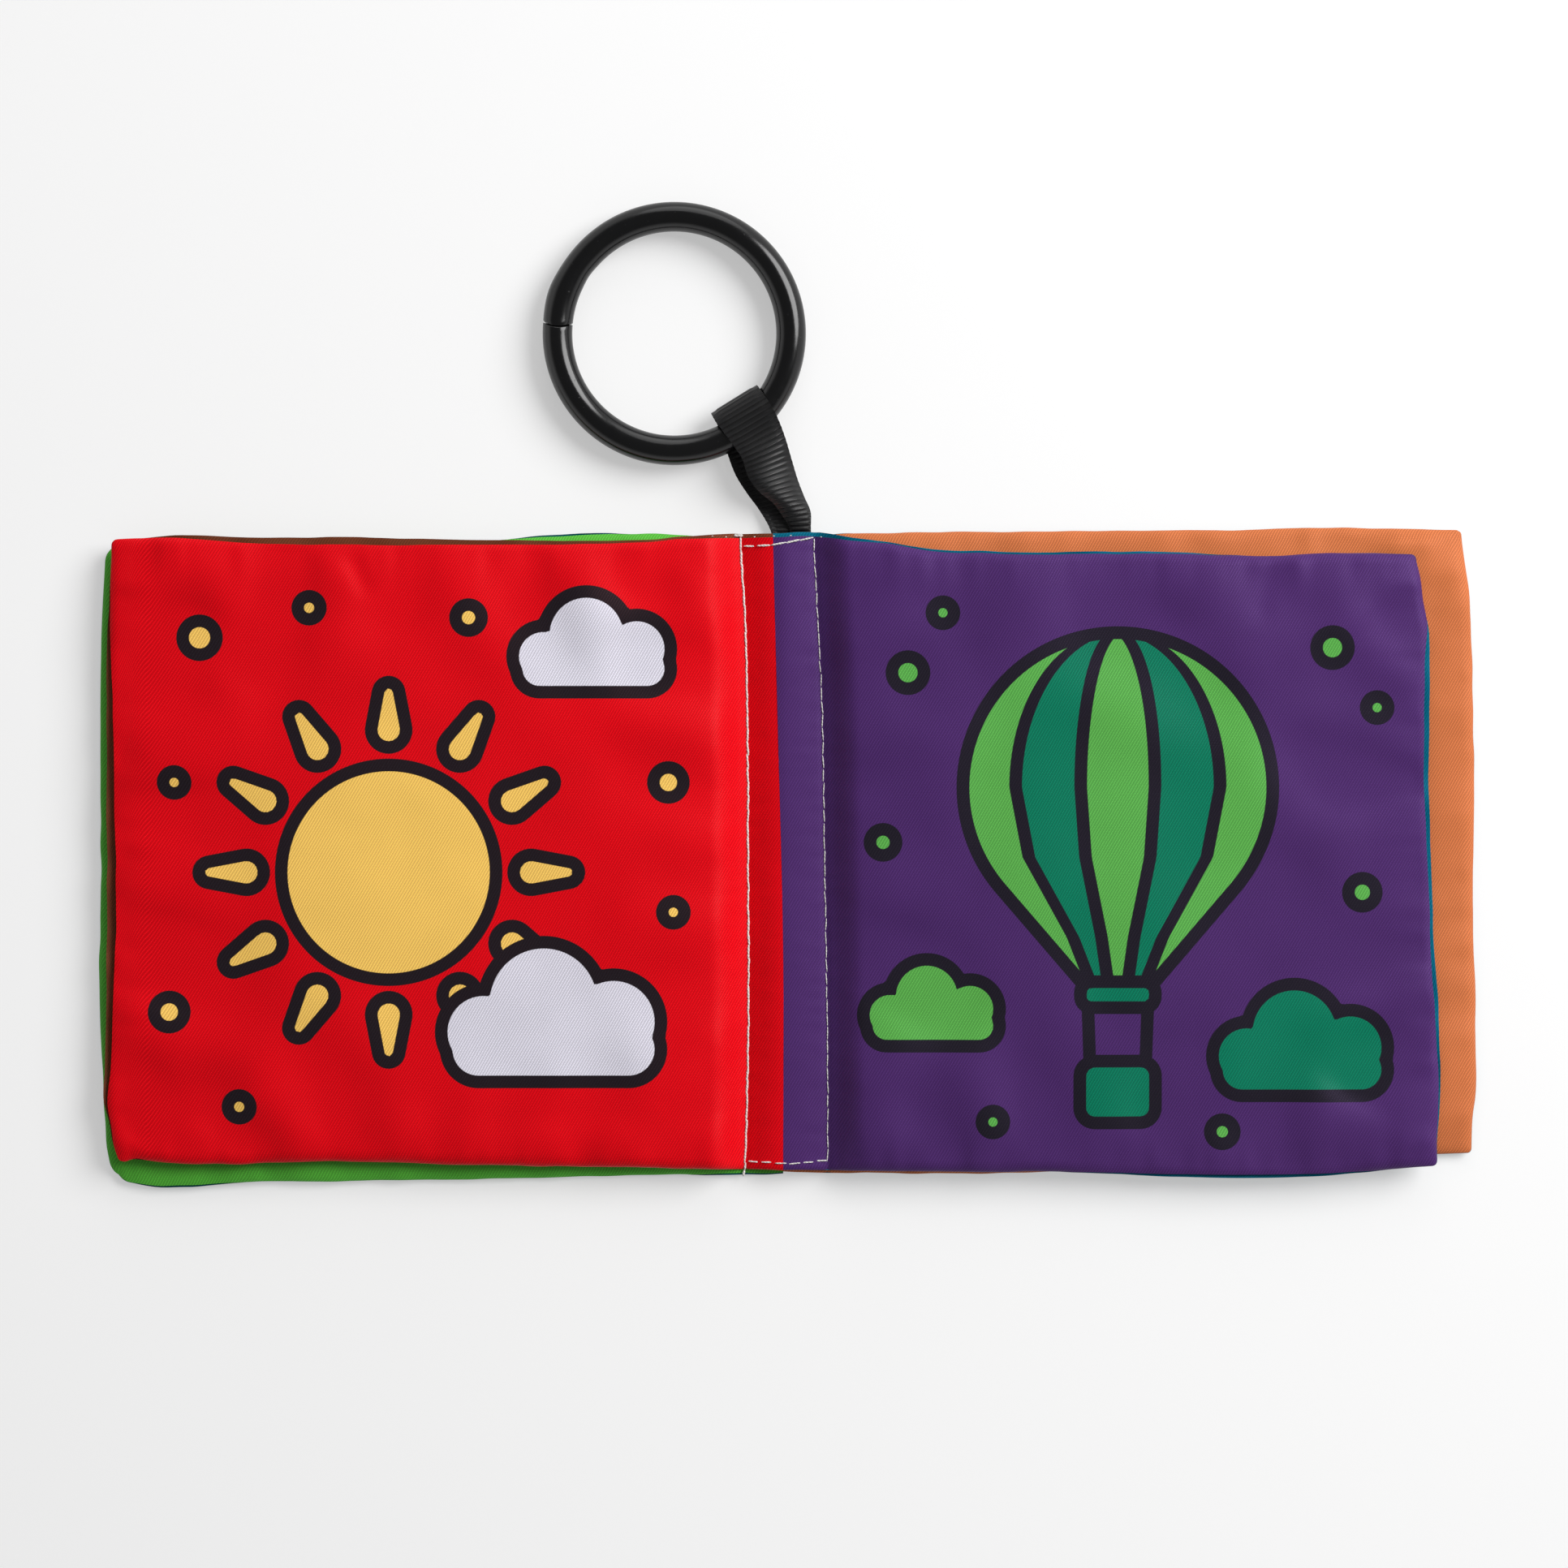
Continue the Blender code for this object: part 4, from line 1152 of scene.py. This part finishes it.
stitching = {
    "pitch": 2.75,
    "length": {"left": 3.35, "right": 2.65, "head": 3.3, "foot": 2.45, "wrap": 1.9, "tail": 1.55, "mark": 0.4},
    "radius": {"left": 0.24, "right": 0.13, "head": 0.21, "foot": 0.15, "wrap": 0.28, "tail": 0.24, "mark": 0.09},
    "sides": 6,
    "arch": 0.07,
    "lumps": 0.16,
    "lumpsPerTurn": 4.5,
    "wander": 0.09,
    "shift": 0.06,
    "squash": 0.8,
    "lengths": (0.94, 1.04),
    "girths": (0.9, 1.12),
    "head": 63.2,
    "foot": -62.4,
    "backLevel": 0.65,
    "proud": 0.06,
    "bars": {"head": [(-7.8, 61.4), (-1.6, 61.9), (5.9, 63.2)],
             "foot": [(-7.2, -62.3), (-0.5, -62.5), (0.8, -62.6), (8.9, -61.9)]},
    "wrap": [(-10.0, 63.7), (-8.1, 63.8)],
    "tail": [(-7.65, -62.6), (-7.75, -63.8), (-7.95, -64.9), (-8.0, -65.4)],
    "marks": [(-14.2, 63.4), (-11.5, 63.4), (-5.8, 63.4), (-1.9, 63.5), (1.5, 63.6), (7.6, 63.4)],
}


def stitchMesh():
    bpy.ops.mesh.primitive_uv_sphere_add(segments=stitching["sides"], ring_count=9, radius=0.5)
    stitch = bpy.context.object
    for vert in stitch.data.vertices:
        height = vert.co.z * 2
        girth = 1 / max(math.hypot(vert.co.x, vert.co.y) * 2, 1e-6) if abs(height) < 0.95 else 1.0
        keep = (1 - abs(height) ** 4) ** 0.5
        vert.co.x *= girth * keep
        vert.co.y *= girth * keep
    bpy.ops.object.shade_smooth()
    return stitch


def alongLine(points, pitch):
    # even places along a smooth line through the points, each with its direction
    points = np.array(points, float)
    fine = np.concatenate([[0], np.cumsum(np.hypot(*np.diff(points, axis=0).T))])
    at = np.linspace(0, fine[-1], 400)
    x = curve(np.stack([fine, points[:, 0]], 1), at)
    y = curve(np.stack([fine, points[:, 1]], 1), at)
    count = max(int(round(fine[-1] / pitch)), 1)
    middle = (np.arange(count) + 0.5) * fine[-1] / count
    px = np.interp(middle, at, x)
    py = np.interp(middle, at, y)
    dx = np.interp(middle + 0.2, at, x) - np.interp(middle - 0.2, at, x)
    dy = np.interp(middle + 0.2, at, y) - np.interp(middle - 0.2, at, y)
    return px, py, np.arctan2(dy, dx)


def surfaceHeight(surfaces, x, y):
    # height of the nearest grid point of the cloth under a place
    best = None
    for points in surfaces:
        distance = (points[..., 0] - x) ** 2 + (points[..., 1] - y) ** 2
        place = np.unravel_index(np.argmin(distance), distance.shape)
        if best is None or distance[place] < best[0]:
            best = distance[place], points[place][2]
    return best[1]


def addStitching(name, surfaces, face, slot, node):
    chance = np.random.RandomState(5 if face > 0 else 6)
    model = stitchMesh()
    copies = []
    lines = [("left", [(-out, y) for y, out in hinges["left"]["stitch"]]),
             ("right", [(out, y) for y, out in hinges["right"]["stitch"]])]
    lines = [(kind, [point for point in line if abs(point[1]) < 64.5]) for kind, line in lines]
    lines = [(kind, [(x, max(min(y, stitching["head"]), stitching["foot"])) for x, y in line]) for kind, line in lines]
    lines += list(stitching["bars"].items())
    if face > 0:
        lines += [("wrap", stitching["wrap"]), ("tail", stitching["tail"])]
        lines += [("mark", [(x - 0.3, y), (x + 0.3, y)]) for x, y in stitching["marks"]]
    for kind, line in lines:
        radius = stitching["radius"][kind]
        pitch = min(stitching["pitch"], stitching["length"][kind] * 1.1)
        for x, y, turn in zip(*alongLine(line, pitch)):
            copy = model.copy()
            copy.data = model.data.copy()
            bpy.context.collection.objects.link(copy)
            swing = chance.uniform(-1, 1) * stitching["wander"]
            length = stitching["length"][kind] * chance.uniform(*stitching["lengths"])
            girth = radius * chance.uniform(*stitching["girths"])
            shift = chance.uniform(-1, 1) * stitching["shift"]
            beat = chance.uniform(0, 6)
            for vert in copy.data.vertices:
                along = vert.co.z * length
                lump = girth * (1 + stitching["lumps"] * math.sin(along * stitching["lumpsPerTurn"] + beat))
                side = vert.co.x * 2 * lump + shift
                up = vert.co.y * 2 * lump * stitching["squash"] + stitching["arch"] * (1 - 4 * (along / length) ** 2)
                px = x + along * math.cos(turn + swing) - side * math.sin(turn + swing)
                py = y + along * math.sin(turn + swing) + side * math.cos(turn + swing)
                vert.co = (px, py, up * face)
            base = surfaceHeight(surfaces, x, y) if face > 0 else stitching["backLevel"]
            for vert in copy.data.vertices:
                level = vert.co.z + base + face * stitching["proud"]
                vert.co = Vector((vert.co.x, vert.co.y, level)) * mm + Vector(bookMiddle)
            copies.append(copy)
    bpy.data.objects.remove(model)
    select(*copies)
    bpy.ops.object.join()
    piece = bpy.context.object
    piece.name = name
    dress(piece, threadMaterial(), slot, node)
    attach(piece, "spine")


def threadMaterial():
    if "stitch thread" in bpy.data.materials:
        return bpy.data.materials["stitch thread"]
    material, tree = newMaterial("stitch thread", {"Roughness": 0.55, "Sheen Weight": 0.2})
    place = tree.place()
    twist = tree.make("TexWave", {"bands_direction": "DIAGONAL"}, {"Vector": place, "Scale": 900.0, "Distortion": 1.5})
    fuzz = tree.noise(place, 2600.0, 2.0)
    share = twist * 0.7 + fuzz * 0.4
    connect(material, "Base Color", tree.mix(share, (0.55, 0.53, 0.50), (0.86, 0.84, 0.81)))
    addBump(material, tree, twist + fuzz * 0.6, 0.04 * mm)
    return material


# The moulded ring, split on its left

ring = {
    "steps": 160,
    "sides": 28,
    "slit": 0.3,
    "slitBow": 1.05,
    "swell": 0.28,
    "swellBearing": 161.0,
    "swellReach": 9.0,
    "slitBearing": 174.0,
    "slitReach": 4,
    "slitEdge": 0.12,
    "facet": 0.12,
    "facetBearing": 146.0,
    "facetReach": 5,
}


def addRing():
    low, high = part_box("split_ring")
    tube = (high.z - low.z) / 2
    centre = Vector(((low.x + high.x) / 2, (low.y + high.y) / 2, (low.z + high.z) / 2))
    radius = (high.y - low.y) / 2 - tube
    centre.x = high.x - radius - tube
    slitAngle = ring["slit"] * mm / radius
    bearing = math.radians(ring["slitBearing"]) + slitAngle / 2
    bpy.ops.object.select_all(action="DESELECT")
    start = centre + Vector((math.cos(bearing), math.sin(bearing), 0)) * radius
    bpy.ops.mesh.primitive_circle_add(vertices=ring["sides"], radius=tube, fill_type="NGON", location=start,
                                      rotation=(math.pi / 2, 0, bearing))
    piece = bpy.context.object
    piece.name = "split_ring_moulding"
    bpy.ops.object.transform_apply(location=True, rotation=True, scale=True)
    bpy.ops.object.mode_set(mode="EDIT")
    bpy.ops.mesh.select_all(action="SELECT")
    bpy.ops.mesh.spin(steps=ring["steps"], angle=2 * math.pi - slitAngle, center=centre, axis=(0, 0, 1))
    bpy.ops.mesh.select_all(action="SELECT")
    bpy.ops.mesh.normals_make_consistent(inside=False)
    bpy.ops.object.mode_set(mode="OBJECT")
    for vert in piece.data.vertices:
        arm = vert.co - centre
        reach = math.hypot(arm.x, arm.y)
        angle = math.atan2(arm.y, arm.x) % (2 * math.pi)
        fromSlit = (angle - math.radians(ring["slitBearing"]) + math.pi) % (2 * math.pi) - math.pi
        near = math.exp(-((fromSlit * radius / mm / ring["slitReach"]) ** 2))
        share = min(abs(reach - radius) / tube, 1)
        bow = -ring["slitBow"] * mm / radius * (1 - share ** 2) * near
        far = (math.degrees(angle) - ring["swellBearing"]) / ring["swellReach"]
        outer = max((reach - radius) / tube, 0)
        swell = ring["swell"] * mm * math.exp(-far ** 2) * outer ** 2 if fromSlit < 0 else 0
        facet = (math.degrees(angle) - ring["facetBearing"]) / ring["facetReach"]
        inner = max((radius - reach) / tube, 0)
        swell += ring["facet"] * mm * math.exp(-facet ** 2) * inner ** 2
        grown = reach + swell
        vert.co = centre + Vector((math.cos(angle - bow) * grown, math.sin(angle - bow) * grown, arm.z))
    edge = piece.modifiers.new("slit edge", "BEVEL")
    edge.width = ring["slitEdge"] * mm
    edge.segments = 2
    edge.limit_method = "ANGLE"
    edge.angle_limit = math.radians(60)
    bpy.ops.object.modifier_apply(modifier=edge.name)
    bpy.ops.object.shade_smooth_by_angle(angle=math.radians(40))
    dress(piece, ringMaterial(), "black_plastic", "split_ring")
    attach(piece, "ring")


def ringMaterial():
    material, tree = newMaterial("moulded plastic", {"Specular IOR Level": 0.45})
    place = tree.place()
    scuff = tree.noise(place, 420.0, 4.0)
    flow = tree.noise(place, 55.0, 2.0)
    speck = tree.ramp(tree.noise(place, 1500.0, 1.0), 0.72, 0.8)
    shade = flow * 0.7 + speck * 0.6
    connect(material, "Base Color", tree.mix(shade, (0.0004, 0.0004, 0.0008), (0.003, 0.003, 0.0034)))
    connect(material, "Roughness", 0.1 + scuff * 0.1 + flow * 0.06 + speck * 0.2)
    addBump(material, tree, flow * 2.0 + scuff * 0.25, 0.05 * mm)
    return material


# The ribbon: plan lines of its two layers' edges, from the fold at the ring (0) down to the spine, in millimetres

ribbon = {
    "width": 10.0,
    "thickness": 0.28,
    "ribPitch": 1.08,
    "ribHeight": 0.2,
    "selvedge": 0.9,
    "picot": 0.1,
    "level": 2.25,
    "swing": [(2.0, 64.0), (2.0, 66.4)],
    "bend": [(-0.85, 71.1), (-2.83, 75.47)],
    "frontSplit": 24.0,
    "backSplit": 21.0,
    "round": 3.85,
    "foldRise": 0.93,
    "yarn": 0.28,
    "lace": 0.55,
    "steps": 6.0,
    "across": 22,
    "frontLeft": [(0, (-14.5, 88.2)), (4, (-12.4, 84.8)), (8, (-10, 81.6)), (11, (-8.3, 79)), (15, (-7, 75.2)),
                  (18.5, (-4.9, 72.4)), (22, (-1.9, 70)), (25, (0, 67.4)), (28, (1.3, 64.6)),
                  (31, (-0.6, 61.6)), (39, (-3.2, 54))],
    "frontRight": [(0, (-5.3, 93.9)), (4, (-2.9, 90.3)), (8, (-1, 86.8)), (11, (0.3, 83.4)), (15, (1.7, 78.8)),
                   (18.5, (2.9, 74.9)), (22, (4.3, 71.3)), (25, (5.5, 68.4)), (28, (5.6, 64.6)), (31, (6.4, 61.6)),
                   (39, (7.3, 54))],
    "backLeft": [(0, (-14.5, 88.2)), (4, (-12.4, 84.4)), (8, (-11.2, 80.2)), (12, (-9.6, 76)), (16, (-7.3, 72.3)),
                 (20, (-4.9, 69)), (25, (-2.5, 64.6)), (36, (-3.2, 54))],
    "backRight": [(0, (-5.3, 93.9)), (4, (-3.2, 89.6)), (8, (-2.2, 84.2)), (12, (-0.6, 79.8)), (16, (1.6, 75.6)),
                  (20, (3.8, 71.6)), (25, (5.1, 64.6)), (36, (7.2, 54))],
    "frontHeight": [(0, 7.5), (9, 7.6), (12, 7.1), (16, 5.6), (21, 3.9), (25, 3), (28, 2.53), (40, 2.53)],
    "backHeight": [(0, 0.3), (9, 0.34), (14, 0.8), (20, 1.55), (25, 1.97), (40, 1.97)],
    "cup": [(0, 0), (9, 0.1), (14, 0.9), (19, 1.7), (23, 1.5), (26, 0.7), (28, 0.1), (40, 0)],
    "tilt": [(0, 0), (8, 0), (12, -0.7), (17, -1.9), (21, -1.6), (24, -0.7), (28, 0), (40, 0)],
}


def ribbonLine(name, at):
    places = ribbon[name]
    x = curve([(place, point[0]) for place, point in places], at)
    y = curve([(place, point[1]) for place, point in places], at)
    return np.stack([x, y], axis=-1)


def ribbonRows(layer, at):
    # the two edges' points, and the height of the middle, of a layer at these distances from the fold
    left = ribbonLine(layer + "Left", at)
    right = ribbonLine(layer + "Right", at)
    return left, right, curve(ribbon[layer + "Height"], at)


def ribbonPoints(runs):
    # runs of (layer, distances from the fold), but the layer "fold" has angles round the ring's tube
    across = np.linspace(-1, 1, ribbon["across"])
    rows = []
    lengths = []
    travelled = 0.0
    last = None
    for layer, at in runs:
        if layer == "fold":
            left, right, _ = ribbonRows("front", ribbon["round"] * (1 - np.sin(at)))
            height = ribbon["round"] * (1 + ribbon["foldRise"] * np.cos(at))
        else:
            left, right, height = ribbonRows(layer, at)
        cup, tilt = [curve(ribbon[kind], at) if layer == "front" else 0 * at for kind in ("cup", "tilt")]
        for index in range(len(at)):
            share = (across[:, None] + 1) / 2
            plan = left[index] * (1 - share) + right[index] * share
            z = height[index] + cup[index] * (1 - across ** 2) + tilt[index] * across
            row = np.concatenate([plan, z[:, None]], axis=1)
            if last is not None:
                travelled += float(np.linalg.norm(row[len(row) // 2] - last[len(row) // 2]))
            last = row
            rows.append(row)
            lengths.append(travelled)
    return np.array(rows), np.array(lengths), across


def addRibbonStrip(name, runs, bodies, start, end, nodes, faceUp, before):
    # before is the ribbon's length up to this strip, so its ribs carry on; returns the length at its end
    points, lengths, across = ribbonPoints(runs)
    normal = np.cross(np.gradient(points, axis=1), np.gradient(points, axis=0))
    normal /= np.maximum(np.linalg.norm(normal, axis=-1, keepdims=True), 1e-9)
    fromEdge = (1 - np.abs(across)) * ribbon["width"] / 2
    body = ease((fromEdge - ribbon["selvedge"]) / 0.5)
    rib = 0.5 + 0.5 * np.cos(2 * math.pi * (before + lengths) / ribbon["ribPitch"])
    height = ribbon["ribHeight"] * (rib[:, None] ** 0.7 * body + 0.35 * (1 - body))
    lifted = points + normal * height[..., None]
    for edge, inner in ((0, 1), (-1, -2)):
        lifted[:, edge] += (points[:, edge] - points[:, inner]) * (rib[:, None] - 0.5) * ribbon["picot"]
    cut = np.zeros_like(points)
    cut[..., 0] = across * ribbon["width"] / 2
    cut[..., 1] = before + lengths[:, None]
    piece = gridPiece(name, lifted, cut, faceUp, ribbon["thickness"], None, 0.2)
    dress(piece, ribbonMaterial(), "black_grosgrain", *nodes)
    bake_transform(piece)
    flat = ribbon["width"] * mm, float(lengths[-1]) * mm
    print("Ribbon", name, [round(size / mm, 1) for size in flat])
    return before + lengths[-1]


def ribbonMaterial():
    if "grosgrain" in bpy.data.materials:
        return bpy.data.materials["grosgrain"]
    material, tree = newMaterial("grosgrain", {"Sheen Weight": 0.01, "Specular IOR Level": 0.34})
    cut = attribute(tree, "cut")
    over = tree.part(cut, 0)
    down = tree.part(cut, 1)
    rib = tree.calc("COSINE", down * (2 * math.pi / ribbon["ribPitch"]))
    yarn = tree.calc("SINE", over * (2 * math.pi / ribbon["yarn"]) + down * 3.0)
    fuzz = tree.noise(cut, 5.0, 2.0)
    lace = tree.calc("SINE", down * (2 * math.pi / ribbon["lace"]))
    # painted light: the base colour is lighter on the ribs' tops and darker between them, where the light falls; fuzz
    # and yarn vary the tone
    share = rib * 0.4 + fuzz * 0.4 + yarn * 0.06 + 0.2
    connect(material, "Base Color", tree.mix(share, (0.0008, 0.0008, 0.0014), (0.0075, 0.0072, 0.0074)))
    connect(material, "Roughness", 0.37 - rib * 0.13)
    addBump(material, tree, yarn * 0.12 + fuzz * 0.5 + lace * 0.15, 0.05 * mm)
    return material


def addRibbon():
    pitch = ribbon["ribPitch"] / ribbon["steps"]
    toPlace = lambda point: tuple(np.array([point[0], point[1], ribbon["level"]]) * mm + bookMiddle)
    swing = [toPlace(point) for point in ribbon["swing"]]
    bend = [toPlace(point) for point in ribbon["bend"]]
    frontFoot = np.arange(ribbon["frontLeft"][-1][0] - 0.5, ribbon["frontSplit"], -pitch)
    frontTop = np.arange(frontFoot[-1], ribbon["round"], -pitch)
    roundFold = np.linspace(0, math.pi, 40)[1:-1]
    backTop = np.arange(ribbon["round"], ribbon["backSplit"], pitch)
    backFoot = np.arange(backTop[-1], ribbon["backLeft"][-1][0] - 0.5, pitch)
    length = addRibbonStrip("ribbon_front_foot", [("front", frontFoot)], ("spine", "ribbon_foot"), *swing,
                            ("ribbon_root", "ribbon_tail"), True, 0)
    length = addRibbonStrip("ribbon_fold", [("front", frontTop), ("fold", roundFold), ("back", backTop)],
                            ("ribbon_foot", "ribbon_fold"), *bend, ("ribbon_loop",), True, length)
    addRibbonStrip("ribbon_back_foot", [("back", backFoot)], ("spine", "ribbon_foot"), *swing, (), False, length)


print("Stage: camera, light and table")
addCamera()
addLamp(studio["keyDirection"], studio["keySize"], studio["keyPower"])
addLamp(studio["sideDirection"], studio["sideSize"], studio["sidePower"])
addFloor()
addSky()
bpy.context.scene.view_settings.view_transform = "Standard"

print("Stage: cloths")
surfaces = addCloths()

print("Stage: filling")
for hand in ("left", "right"):
    for kind in ("_page", "_cover"):
        addWadding(hand + kind)
        addFilm(hand + kind)
addSeamThreads()

print("Stage: stitching, ribbon and ring")
addStitching("front_lockstitch", surfaces, 1, "white_thread", "spine_front_stitching")
addStitching("back_lockstitch", surfaces, -1, "white_thread", "spine_back_stitching")
addRibbon()
addRing()

bpy.context.view_layer.update()
newBox = [list(corner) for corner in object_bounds()]
